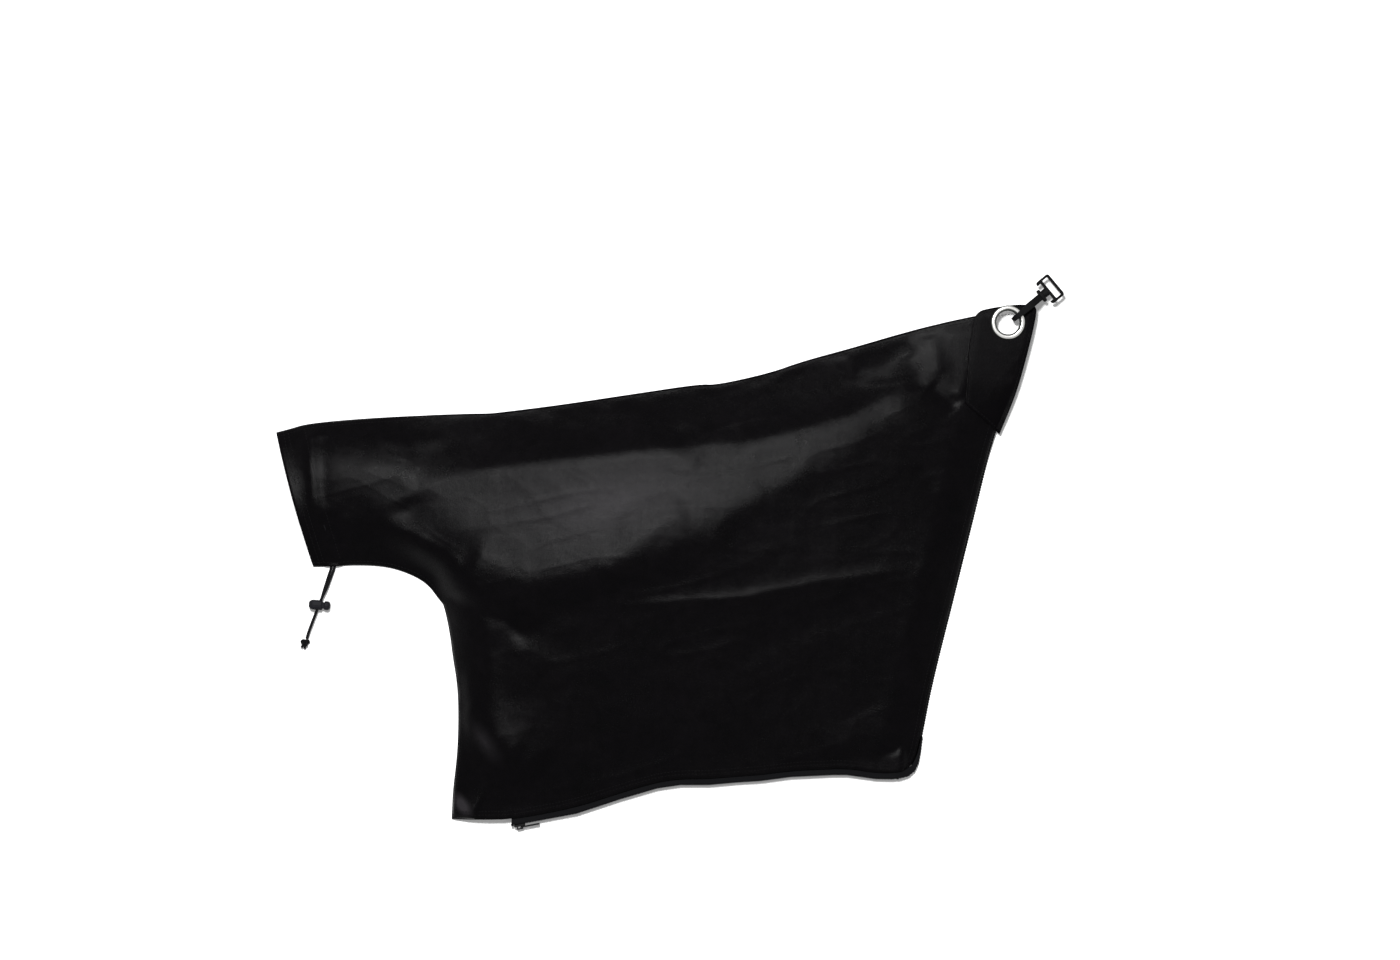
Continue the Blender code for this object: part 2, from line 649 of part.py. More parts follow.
def casing(name, front, material):
    """Cloth strip inside the mouth that holds the drawcord against one panel."""
    room = CORD_DIAMETER + 2 * CORD_PLAY
    flat = 0.5 * CASING_WIDTH
    shoulder = flat - CASING_SHOULDER
    across = [(-flat, 0.0), (-shoulder, room), (shoulder, room), (flat, 0.0)]
    grid = []
    drop = {}
    for share in even(9):
        along = CASING_END + share * (LIP_LENGTH - 2 * CASING_END)
        row = []
        for offset, sink in across:
            spot = LIP[1] + LIP_UP * along + LIP_IN * (CASING_INSET + offset)
            drop[(round(spot.x, 7), round(spot.y, 7))] = sink
            row.append(spot)
        grid.append(row)

    def lower(point):
        sink = drop[(round(point.x, 7), round(point.y, 7))]
        if front:
            return front_under(point) - CASING_GAP - sink - CLOTH
        return CLOTH + LAYER_GAP + sink

    return shell(name, [grid], lower, CLOTH, material)


def patch_grid():
    """Plan grid of the corner patch."""
    shares = even(PATCH_CELLS)
    grid = coons(resample(PATCH_TOP, shares), resample(PATCH_BOTTOM, shares),
                 resample(PATCH_LEFT, shares), resample(PATCH_RIGHT, shares))
    return [[point * MM for point in row] for row in grid]


def faces_met(panel, point, side):
    """Heights at which the panel is met from above (side 1) or below (side -1), at and about a plan point."""
    tree = BVHTree.FromPolygons([vertex.co for vertex in panel.data.vertices],
                                [face.vertices for face in panel.data.polygons])
    about = [Vector((0.0, 0.0))] + [Vector((x, y)) * DRAPE_REACH for x in (-1, 0, 1) for y in (-1, 0, 1) if x or y]
    met = [tree.ray_cast((*(point + step), side), (0.0, 0.0, -side))[0] for step in about]
    return [spot.z for spot in met if spot]


def patch(name, panel, side, cloth):
    """Corner patch that lies against one panel."""

    def lower(point):
        if side > 0:
            beyond = tab_lift(point) + 2 * CLOTH + LAYER_GAP
            return max([beyond] + faces_met(panel, point, side)) + PATCH_GAP
        return min([tab_lift(point)] + faces_met(panel, point, side)) - PATCH_GAP - CLOTH

    return shell(name, [patch_grid()], lower, CLOTH, cloth)


def cut_eyelet_hole(item, material):
    """Cut the eyelet's hole through one cloth layer."""
    profile = [(0.0, -CUTTER_REACH), (EYELET_HOLE_RADIUS, -CUTTER_REACH),
               (EYELET_HOLE_RADIUS, CUTTER_REACH), (0.0, CUTTER_REACH)]
    cutter = solid_of_turning(f"hole_in_{item.name}", profile, material)
    place(cutter, Matrix.Translation((*EYELET_CENTRE, TAB_LIFT)))
    boolean(item, cutter, "DIFFERENCE")


def make_cloth():
    """Both panels, the corner patches and the casings."""
    cloth = finish("black cloth", (0.012, 0.011, 0.013), 0.62)
    grids = bag_grids()
    back = shell("back_panel", grids, tab_lift, CLOTH, cloth)
    front = shell("front_panel", grids, front_under, CLOTH, cloth)
    over = patch("corner_patch_front", front, 1, cloth)
    under = patch("corner_patch_back", back, -1, cloth)
    for layer in (back, front, over, under):
        cut_eyelet_hole(layer, cloth)
    casing("cord_casing_front", True, cloth)
    casing("cord_casing_back", False, cloth)


def make_eyelet():
    """The curled eyelet and the washer that it is set against."""
    metal = finish("nickel plate", (0.78, 0.77, 0.75), 0.22, 1.0)
    base = Matrix.Translation((*EYELET_CENTRE, PATCH_FLOOR))
    under = TAB_STACK + LAYER_GAP
    top = EYELET_TOP
    washer_low = -LAYER_GAP - WASHER_THICKNESS
    roll_top = washer_low - LAYER_GAP
    roll_low = roll_top - EYELET_ROLL_HEIGHT
    rim = 0.4 * MM
    wide = EYELET_FLANGE_RADIUS
    bore = EYELET_BORE_RADIUS
    barrel = EYELET_BARREL_RADIUS
    profile = [
        (bore, roll_low + rim), (bore + rim, roll_low), (EYELET_ROLL_RADIUS - rim, roll_low),
        (EYELET_ROLL_RADIUS, 0.5 * (roll_low + roll_top)), (EYELET_ROLL_RADIUS - rim, roll_top),
        (barrel, roll_top), (barrel, under), (wide - rim, under), (wide, under + rim),
        (wide - 1.5 * rim, top - 1.8 * rim), (wide - 5 * rim, top - 0.3 * rim), (wide - 8.5 * rim, top),
        (barrel, top - rim), (bore, top - 3.5 * rim),
    ]
    place(turned("eyelet", profile, metal), base)
    ring = [(EYELET_HOLE_RADIUS, washer_low), (WASHER_RADIUS, washer_low),
            (WASHER_RADIUS, -LAYER_GAP), (EYELET_HOLE_RADIUS, -LAYER_GAP)]
    place(turned("eyelet_washer", ring, metal), base)


def clip_matrix():
    """Clip frame: X along its axis, Y across it and level, Z up."""
    turn = Matrix.Rotation(CLIP_ANGLE, 4, "Z")
    reach = 0.5 * HOOK_WIDTH + abs(CLIP_SIDE_OFFSET)
    contact = math.sqrt(EYELET_BORE_RADIUS ** 2 - reach ** 2) - LAYER_GAP
    start = contact - (HOOK_BOW_CENTRE - HOOK_EYE_HALF)
    offset = turn @ Vector((start, CLIP_SIDE_OFFSET, 0.0))
    return Matrix.Translation((EYELET_CENTRE.x + offset.x, EYELET_CENTRE.y + offset.y, CLIP_AXIS_HEIGHT)) @ turn


def arc(centre, radius, start, end, steps):
    """Points on an arc, angles in degrees."""
    points = []
    for step in range(steps + 1):
        angle = math.radians(start + (end - start) * step / steps)
        points.append((centre[0] + radius * math.cos(angle), centre[1] + radius * math.sin(angle)))
    return points


def make_hook(material):
    """Hook, bow and flexing gate tongue in one moulding, with the swivel's flange."""
    half = HOOK_HALF_HEIGHT
    eye = HOOK_EYE_HALF
    face = HOOK_NECK_FACE
    flange = HOOK_FLANGE_START
    neck = 4.6 * MM
    seat = 4.2 * MM
    tongue = 2.0 * MM
    nose = HOOK_BOW_CENTRE + 2.0 * MM
    gate_tip = nose + 0.6 * MM
    outline = [(flange, -neck), (flange, neck), (face + 2.0 * MM, 0.58 * half), (face - 4.0 * MM, 0.86 * half),
               (face - 11.0 * MM, half)]
    outline += arc((HOOK_BOW_CENTRE, 0.0), half, 90, 270, 14)
    outline += [(nose, -half), (nose, -eye - 0.8 * MM)]
    inner = HOOK_BOW_CENTRE - eye + HOOK_EYE_CORNER
    outline += arc((inner, HOOK_EYE_CORNER - eye), HOOK_EYE_CORNER, 270, 180, 4)
    outline += arc((inner, eye - HOOK_EYE_CORNER), HOOK_EYE_CORNER, 180, 90, 4)
    outline += [(face - 4.0 * MM, eye), (face - 1.4 * MM, eye - 0.3 * MM), (face, seat), (face, -seat),
                (face - 1.2 * MM, -seat - 0.9 * MM), (face - 5.5 * MM, -half + tongue + 2.0 * MM),
                (face - 10.0 * MM, -half + tongue + 1.1 * MM), (gate_tip, -half + tongue + 0.8 * MM),
                (gate_tip, -half + 0.8 * MM), (face - 10.0 * MM, -half + 1.0 * MM),
                (face - 4.0 * MM, -half + 2.0 * MM), (face + 2.5 * MM, -half + 5.0 * MM)]
    hook = plate("snap_hook", outline, HOOK_WIDTH, material)
    for vertex in hook.data.vertices:
        toward_tip = smooth((face - 10.0 * MM - vertex.co.x) / face * 1.6)
        vertex.co.z *= 1.0 - (1.0 - HOOK_TIP_WIDTH / HOOK_WIDTH) * toward_tip
    hook.data.transform(Matrix.Rotation(math.radians(90.0), 4, "X"))
    place(hook, clip_matrix())
    soften(hook, HOOK_EDGE_ROUND, 2)
    sideways = Matrix.Rotation(math.radians(90.0), 4, "Y")
    disc = [(0.0, flange - 0.6 * MM), (HOOK_FLANGE_RADIUS - 0.5 * MM, flange - 0.6 * MM),
            (HOOK_FLANGE_RADIUS, flange), (HOOK_FLANGE_RADIUS, flange + HOOK_FLANGE_THICKNESS - 0.6 * MM),
            (HOOK_FLANGE_RADIUS - 0.6 * MM, flange + HOOK_FLANGE_THICKNESS), (0.0, flange + HOOK_FLANGE_THICKNESS)]
    flange_shape = solid_of_turning("hook_flange_shape", disc, material, 28)
    boolean(hook, place(flange_shape, clip_matrix() @ sideways), "UNION")
    bore_radius = STUD_RADIUS + SWIVEL_GAP
    bore_start = face - 2.0 * MM
    bore_end = flange + 2 * HOOK_FLANGE_THICKNESS
    bore = [(0.0, bore_start), (bore_radius, bore_start), (bore_radius, bore_end), (0.0, bore_end)]
    bore_cutter = solid_of_turning("hook_bore_cutter", bore, material, 20)
    boolean(hook, place(bore_cutter, clip_matrix() @ sideways), "DIFFERENCE")


def make_loop(material):
    """Strap loop with the headed stud that it turns on."""
    middle = LOOP_START + 0.5 * LOOP_LENGTH
    loop = plate("strap_loop", rounded(LOOP_LENGTH, LOOP_WIDTH, LOOP_CORNER), LOOP_THICKNESS, material)
    loop.data.transform(Matrix.Translation((middle, 0.0, 0.0)))
    place(loop, clip_matrix())
    soften(loop, 0.9 * MM, 2)
    slot_end = LOOP_START + LOOP_LENGTH - LOOP_BAR
    window = plate("strap_window_cutter", rounded(STRAP_SLOT_LENGTH, STRAP_SLOT_WIDTH, 1.0 * MM),
                   3 * LOOP_THICKNESS, material)
    window.data.transform(Matrix.Translation((slot_end - 0.5 * STRAP_SLOT_LENGTH, 0.0, 0.0)))
    boolean(loop, place(window, clip_matrix()), "DIFFERENCE")
    for side in (-1, 1):
        inner = side * (LOOP_BOSS_RADIUS + 0.2 * MM)
        outer = side * (0.5 * LOOP_WIDTH - LOOP_LEG)
        low = (LOOP_START - 1.0 * MM, min(inner, outer), -LOOP_THICKNESS)
        high = (LOOP_START + LOOP_NOTCH_DEPTH, max(inner, outer), LOOP_THICKNESS)
        notch = block(f"loop_notch_cutter_{side + 1}", low, high, material)
        boolean(loop, place(notch, clip_matrix()), "DIFFERENCE")
    boss_start = HOOK_FLANGE_START + HOOK_FLANGE_THICKNESS + SWIVEL_GAP
    head_end = HOOK_NECK_FACE - SWIVEL_GAP
    head_start = head_end - STUD_HEAD_LENGTH
    boss_end = LOOP_START + LOOP_NOTCH_DEPTH + 1.0 * MM
    profile = [
        (0.0, head_start), (STUD_HEAD_RADIUS - 0.8 * MM, head_start),
        (STUD_HEAD_RADIUS, head_start + 0.5 * STUD_HEAD_LENGTH), (STUD_HEAD_RADIUS, head_end),
        (STUD_RADIUS, head_end), (STUD_RADIUS, boss_start), (LOOP_BOSS_RADIUS, boss_start),
        (LOOP_BOSS_RADIUS, boss_end), (0.0, boss_end),
    ]
    sideways = Matrix.Rotation(math.radians(90.0), 4, "Y")
    stud = solid_of_turning("stud_shape", profile, material, 24)
    boolean(loop, place(stud, clip_matrix() @ sideways), "UNION")


def make_clip():
    """Swivel clip that hangs the bag from the machine's strap."""
    plastic = finish("black acetal", (0.02, 0.02, 0.022), 0.38)
    make_hook(plastic)
    make_loop(plastic)


def lock_matrix():
    """Cord lock frame: X from the closed end to the button."""
    return Matrix.Translation(LOCK_CENTRE) @ Matrix.Rotation(LOCK_TILT, 4, "Z")


def oval_bar(name, start, end, depth, height, start_crown, end_crown, material, steps=24):
    """A bar of oval section along X; each end is rounded over a length and drawn in by a share."""
    profile = []
    for share in (0.0, 0.35, 0.7, 1.0):
        profile.append((start + start_crown[0] * share, math.sqrt(1.0 - start_crown[1] * (1.0 - share) ** 2)))
    for share in (1.0, 0.7, 0.35, 0.0):
        profile.append((end - end_crown[0] * share, math.sqrt(1.0 - end_crown[1] * (1.0 - share) ** 2)))
    points = []
    for x, scale in profile:
        for step in range(steps):
            angle = 2 * math.pi * step / steps
            side = math.copysign(abs(math.cos(angle)) ** OVAL_POWER, math.cos(angle))
            rise = math.copysign(abs(math.sin(angle)) ** OVAL_POWER, math.sin(angle))
            points.append((x, 0.5 * depth * scale * side, 0.5 * height * scale * rise))
    faces = [list(range(steps))[::-1], list(range((len(profile) - 1) * steps, len(profile) * steps))]
    for ring in range(len(profile) - 1):
        for step in range(steps):
            here = ring * steps + step
            there = ring * steps + (step + 1) % steps
            faces.append([here, there, there + steps, here + steps])
    return place(add_mesh(name, points, faces, material), lock_matrix())


def cord_slot_cutter(name, left, right, material):
    """Cutter for the way that both strands take through the lock, square to the cord."""
    high = 0.5 * LOCK_CORD_SLOT_HEIGHT
    return block(name, (left, -CUTTER_REACH, -high), (right, CUTTER_REACH, high), material)


def make_cord_lock():
    """Sprung cord lock: body, plunger with its button, and spring."""
    plastic = finish("dark grey plastic", (0.035, 0.035, 0.04), 0.42)
    steel = finish("spring steel", (0.55, 0.55, 0.55), 0.3, 1.0)
    cord_skew = Matrix.Rotation(math.atan2(CORD_DIRECTION.y, CORD_DIRECTION.x) - 0.5 * math.pi - LOCK_TILT, 4, "Z")
    at_cord = Matrix.Translation((LOCK_CORD_OFFSET, 0.0, 0.0)) @ cord_skew
    half_slot = 0.5 * LOCK_CORD_SLOT_WIDTH
    bore_depth = LOCK_BODY_DEPTH - 2 * LOCK_WALL
    bore_height = LOCK_BODY_HEIGHT - 2 * LOCK_WALL
    body = oval_bar("cord_lock_body", LOCK_BODY_START, LOCK_BODY_END, LOCK_BODY_DEPTH, LOCK_BODY_HEIGHT,
                    (4.0 * MM, 0.72), (0.8 * MM, 0.1), plastic)
    bore_start = LOCK_BODY_START + LOCK_WALL
    bore = block("lock_bore_cutter", (bore_start, -0.5 * bore_depth, -0.5 * bore_height),
                 (LOCK_BODY_END + 5 * MM, 0.5 * bore_depth, 0.5 * bore_height), plastic)
    place(bore, lock_matrix())
    soften(bore, 1.6 * MM, 3)
    boolean(body, bore, "DIFFERENCE")
    slot = cord_slot_cutter("lock_body_slot_cutter", -half_slot, half_slot, plastic)
    boolean(body, place(slot, lock_matrix() @ at_cord), "DIFFERENCE")
    shaft_depth = bore_depth - 2 * LOCK_RUNNING_GAP
    shaft_height = bore_height - 2 * LOCK_RUNNING_GAP
    button_start = LOCK_BODY_END + LOCK_TRAVEL
    shaft_start = LOCK_CORD_OFFSET - half_slot - SLOT_SKEW_ROOM - LOCK_PLUNGER_TAIL
    plunger = block("cord_lock_plunger", (shaft_start, -0.5 * shaft_depth, -0.5 * shaft_height),
                    (button_start + 1.0 * MM, 0.5 * shaft_depth, 0.5 * shaft_height), plastic)
    place(plunger, lock_matrix())
    soften(plunger, 1.3 * MM, 2)
    button = oval_bar("lock_button_shape", button_start, button_start + LOCK_BUTTON_LENGTH, LOCK_BUTTON_DEPTH,
                      LOCK_BUTTON_HEIGHT, (0.6 * MM, 0.15), (2.6 * MM, 0.72), plastic)
    boolean(plunger, button, "UNION")
    slot = cord_slot_cutter("plunger_slot_cutter", -half_slot, half_slot + LOCK_TRAVEL, plastic)
    boolean(plunger, place(slot, lock_matrix() @ at_cord), "DIFFERENCE")
    spring_start = bore_start + LOCK_RUNNING_GAP + 0.5 * SPRING_WIRE
    spring_end = shaft_start - LOCK_RUNNING_GAP - 0.5 * SPRING_WIRE
    path = []
    for step in range(int(SPRING_TURNS * 12) + 1):
        angle = 2 * math.pi * step / 12
        share = step / (SPRING_TURNS * 12)
        path.append((spring_start + share * (spring_end - spring_start),
                     SPRING_RADIUS * math.cos(angle), SPRING_RADIUS * math.sin(angle)))
    place(tube("cord_lock_spring", path, SPRING_WIRE, 1, steel), lock_matrix())


def make_drawcord():
    """The one drawcord: knot, lock, through the mouth's casings and back."""
    black = finish("black braid", (0.018, 0.018, 0.02), 0.8)
    path = [point * MM for point in smooth_curve(CORD_ROUTE, CORD_POINTS)]
    tube("drawcord", path, CORD_DIAMETER, 2, black)
    points = []
    turns = 60
    for step in range(turns + 1):
        angle = 2 * math.pi * step / turns
        spot = Vector((math.sin(angle) + 2 * math.sin(2 * angle), math.cos(angle) - 2 * math.cos(2 * angle),
                       -math.sin(3 * angle)))
        points.append(spot)
    knot = bpy.data.meshes.new("knot")
    work = bmesh.new()
    bmesh.ops.create_icosphere(work, subdivisions=3, radius=1.0)
    for vertex in work.verts:
        nearest = min((vertex.co * 3.0 - point).length for point in points)
        vertex.co *= KNOT_RADIUS * (1.0 - 0.16 * smooth(nearest / 1.4))
        vertex.co.x *= 1.25
    bmesh.ops.translate(work, verts=work.verts, vec=KNOT_CENTRE)
    work.to_mesh(knot)
    work.free()
    knot.materials.append(black)
    knot.shade_smooth()
    bpy.context.scene.collection.objects.link(bpy.data.objects.new("drawcord_knot", knot))


def zip_path():
    """Plan points of the chain's middle, from its start to its end."""
    edge = BOTTOM_EDGE
    points = []
    for index, here in enumerate(edge):
        before = edge[max(index - 1, 0)]
        after = edge[min(index + 1, len(edge) - 1)]
        along = (after - before).normalized()
        points.append(here + Vector((along.y, -along.x)) * ZIP_REACH)
    return points


def at_x(path, x):
    """Point of a left-to-right path at a given x."""
    for start, end in zip(path, path[1:]):
        if start.x <= x <= end.x:
            return start.lerp(end, (x - start.x) / (end.x - start.x))
    return path[-1]


def stretch(path, start_x, end_x):
    """The part of a path between two values of x."""
    return [at_x(path, start_x)] + [p for p in path if start_x + MM < p.x < end_x - MM] + [at_x(path, end_x)]


def make_zip():
    """Zip that closes the bottom edge: tapes, coil rows, stops, slider and pull."""
    tape_finish = finish("zip tape", (0.014, 0.014, 0.016), 0.85)
    coil_finish = finish("zip coil", (0.02, 0.02, 0.022), 0.45)
    metal = finish("black slider metal", (0.03, 0.03, 0.032), 0.35, 0.8)
    middle = ZIP_CENTRE_HEIGHT
    chain = zip_path()
    start = at_x(chain, ZIP_START_X)
    along = (at_x(chain, ZIP_START_X + SLIDER_RUN) - start).normalized()
    straight = Matrix.Translation((start.x, start.y, middle)) @ Matrix.Rotation(math.atan2(along.y, along.x), 4, "Z")
    half = 0.5 * COIL_THICKNESS
    coil_start = start.x + SLIDER_POST * along.x
    coil_path = stretch(chain, coil_start, ZIP_END_X)
    tape_path = stretch(chain, ZIP_START_X - TAPE_TAIL, ZIP_END_X + TAPE_TAIL)
    low = 0.5 * COIL_GAP
    high = low + COIL_ROW_HEIGHT
    near = high + COIL_GAP
    back = -(ZIP_REACH + TAPE_LAP)
    for name, sign in (("front", 1), ("back", -1)):
        row = [(-half, middle + sign * low), (half, middle + sign * low),
               (half, middle + sign * high), (-half, middle + sign * high)]
        sweep(f"zip_coil_{name}", coil_path, row, coil_finish)
        section = [(-0.5 * TAPE, near), (0.5 * TAPE, near), (0.5 * TAPE, TAPE_RISE + TAPE),
                   (back, TAPE_RISE + TAPE), (back, TAPE_RISE), (-0.5 * TAPE, TAPE_RISE)]
        sweep(f"zip_tape_{name}", tape_path, [(u, middle + sign * z) for u, z in section], tape_finish)
        stop_end = -SLIDER_GAP - SLIDER_BACK
        bottom, top = sorted((sign * low, sign * high))
        stop = block(f"zip_top_stop_{name}", (stop_end - STOP_LENGTH, -half, bottom), (stop_end, half, top), metal)
        place(stop, straight)
    end = at_x(chain, ZIP_END_X)
    before = at_x(chain, ZIP_END_X - 4 * MM)
    heading = math.atan2(end.y - before.y, end.x - before.x)
    stop_half = half + 0.4 * MM
    corner = (COIL_GAP + STOP_LENGTH, stop_half, high)
    bottom_stop = block("zip_bottom_stop", (COIL_GAP, -stop_half, -high), corner, metal)
    place(bottom_stop, Matrix.Translation((end.x, end.y, middle)) @ Matrix.Rotation(heading, 4, "Z"))
    make_slider(straight, half, high, metal)


def make_slider(straight, half, high, metal):
    """Slider that wraps the chain, and its pull."""
    reach = half + SLIDER_GAP
    rise = high + SLIDER_GAP
    wide = reach + SLIDER_PLATE
    tall = rise + SLIDER_FLANGE
    slot = 0.5 * TAPE + SLIDER_GAP
    back = -SLIDER_BACK
    front = back + SLIDER_LENGTH
    slider = plate("zip_slider", rounded(SLIDER_LENGTH, 2 * tall, 1.8 * MM), 2 * wide, metal)
    slider.data.transform(Matrix.Rotation(math.radians(90.0), 4, "X"))
    slider.data.transform(Matrix.Translation((0.5 * (back + front), 0.0, 0.0)))
    place(slider, straight)
    soften(slider, 0.4 * MM, 2)
    post_end = SLIDER_POST - SLIDER_GAP
    channel = block("slider_channel_cutter", (post_end, -reach, -rise), (front + 3 * MM, reach, rise), metal)
    boolean(slider, place(channel, straight), "DIFFERENCE")
    before = back - 3 * MM
    beyond = front + 3 * MM
    for sign in (-1, 1):
        bottom, top = sorted((sign * SLIDER_MOUTH, sign * rise))
        mouth_end = post_end + 0.4 * MM
        mouth = block(f"slider_mouth_cutter_{sign + 1}", (before, -reach, bottom), (mouth_end, reach, top), metal)
        boolean(slider, place(mouth, straight), "DIFFERENCE")
        bottom, top = sorted((sign * (rise - 0.5 * MM), sign * (tall + 3 * MM)))
        cutter = block(f"slider_tape_slot_cutter_{sign + 1}", (before, -slot, bottom), (beyond, slot, top), metal)
        boolean(slider, place(cutter, straight), "DIFFERENCE")
    crown_middle = 0.5 * (back + front)
    outer = -(wide + SLIDER_CROWN_HEIGHT)
    crown = block("slider_crown_shape", (crown_middle - 0.5 * SLIDER_CROWN_LENGTH, outer, -0.5 * SLIDER_CROWN_WIDTH),
                  (crown_middle + 0.5 * SLIDER_CROWN_LENGTH, -wide + 0.5 * MM, 0.5 * SLIDER_CROWN_WIDTH), metal)
    soften(crown, 0.5 * MM, 1)
    boolean(slider, place(crown, straight), "UNION")
    eye_low = (crown_middle - 0.5 * SLIDER_CROWN_LENGTH + CROWN_BAR, outer + CROWN_BAR, -5 * MM)
    eye_high = (crown_middle + 0.5 * SLIDER_CROWN_LENGTH - CROWN_BAR, -wide, 5 * MM)
    boolean(slider, place(block("crown_eye_cutter", eye_low, eye_high, metal), straight), "DIFFERENCE")
    pivot_x = crown_middle + 0.5 * SLIDER_CROWN_LENGTH - CROWN_BAR - LAYER_GAP - 0.5 * PULL_EYE_WALL
    pivot_y = -wide - 0.5 * (SLIDER_CROWN_HEIGHT - CROWN_BAR)
    make_pull(straight @ Matrix.Translation((pivot_x, pivot_y, 0.0)), metal)


def make_pull(pivot, metal):
    """Pull tab; its own Z is the hinge axis and it lies along the chain."""
    window_half = 0.5 * SLIDER_CROWN_WIDTH + LAYER_GAP
    eye_half = 0.5 * PULL_EYE_WALL
    pull = block("zip_pull", (-eye_half, -0.5 * PULL_THICKNESS, -0.5 * PULL_WIDTH),
                 (PULL_LENGTH, 0.5 * PULL_THICKNESS, 0.5 * PULL_WIDTH), metal)
    place(pull, pivot)
    soften(pull, 0.3 * MM, 1)
    window = block("pull_window_cutter", (eye_half, -3 * MM, -window_half),
                   (eye_half + PULL_WINDOW, 3 * MM, window_half), metal)
    boolean(pull, place(window, pivot), "DIFFERENCE")


def settle_origin():
    """Move everything so that the origin is under the middle of the bag without its free cord."""
    bpy.context.view_layer.update()
    graph = bpy.context.evaluated_depsgraph_get()
    spots = []
    for item in bpy.data.objects:
        if item.hide_render or item.name.startswith(CORD_PIECES):
            continue
        shown = item.evaluated_get(graph)
        spots += [shown.matrix_world @ vertex.co for vertex in shown.data.vertices]
    middle = [0.5 * (min(spot[axis] for spot in spots) + max(spot[axis] for spot in spots)) for axis in (0, 1)]
    for item in bpy.data.objects:
        item.location -= Vector((*middle, 0.0))


def main():
    """Build the bag."""
    clear_scene()
    make_cloth()
    make_eyelet()
    make_clip()
    make_cord_lock()
    make_drawcord()
    make_zip()
    settle_origin()


main()
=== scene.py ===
"""Dressed model of a leaf vacuum's collection bag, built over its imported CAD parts.

Metres, +Z up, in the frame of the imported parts. The flat bag's plan is kept in millimetres, as it was
measured, and Plan.to_row turns it into that frame.
"""

import logging
import math
from collections.abc import Sequence
from dataclasses import dataclass, field
from enum import Enum
from functools import cached_property

import bmesh
import bpy
import numpy as np
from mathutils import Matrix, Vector


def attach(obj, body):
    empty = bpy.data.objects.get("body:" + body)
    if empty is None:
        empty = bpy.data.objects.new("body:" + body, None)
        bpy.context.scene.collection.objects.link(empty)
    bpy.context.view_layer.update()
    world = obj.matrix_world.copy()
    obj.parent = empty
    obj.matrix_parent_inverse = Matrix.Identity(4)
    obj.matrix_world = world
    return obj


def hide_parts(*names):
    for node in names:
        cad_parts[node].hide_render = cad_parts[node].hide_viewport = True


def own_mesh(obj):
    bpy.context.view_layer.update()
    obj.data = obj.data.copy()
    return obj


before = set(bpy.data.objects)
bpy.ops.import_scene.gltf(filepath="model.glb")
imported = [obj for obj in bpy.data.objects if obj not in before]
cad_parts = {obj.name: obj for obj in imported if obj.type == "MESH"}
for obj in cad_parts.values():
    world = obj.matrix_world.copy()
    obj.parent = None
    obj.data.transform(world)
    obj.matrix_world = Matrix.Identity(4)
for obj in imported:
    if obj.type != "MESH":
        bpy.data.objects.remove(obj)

LOG = logging.getLogger("leaf bag")
MM = 0.001
# The body that every added piece rides on.
BAG = "bag"

Span = tuple[float, float]
Run = Sequence[Span]
Item = bpy.types.Object
Material = bpy.types.Material
Socket = bpy.types.NodeSocket


class Slot(Enum):
    """The finish slots of the pieces that this script adds."""

    CLOTH = "cloth"
    PATCH = "patch_cloth"
    CASING = "casing_cloth"
    BRAID = "cord_braid"
    NICKEL = "nickel"
    TAPE = "zip_tape"
    COIL = "zip_coil"


class Axis(Enum):
    """The direction that a weave's threads are counted along."""

    WARP = "X"
    WEFT = "Y"


@dataclass(frozen=True)
class Noise:
    """A noise: its cells per metre, its octaves, and how strong the fine octaves are."""

    scale: float
    detail: float = 3.0
    roughness: float = 0.55


@dataclass(frozen=True)
class PaintedSheenSpot:
    """A painted sheen oval on the cloth, a painted highlight: its middle, its long direction's angle from X
    in degrees, and its half lengths.

    The lengths are in metres. The strength is 1 where the painted highlight colour is to show fully.
    """

    middle: tuple
    turn: float
    size: tuple
    strength: float


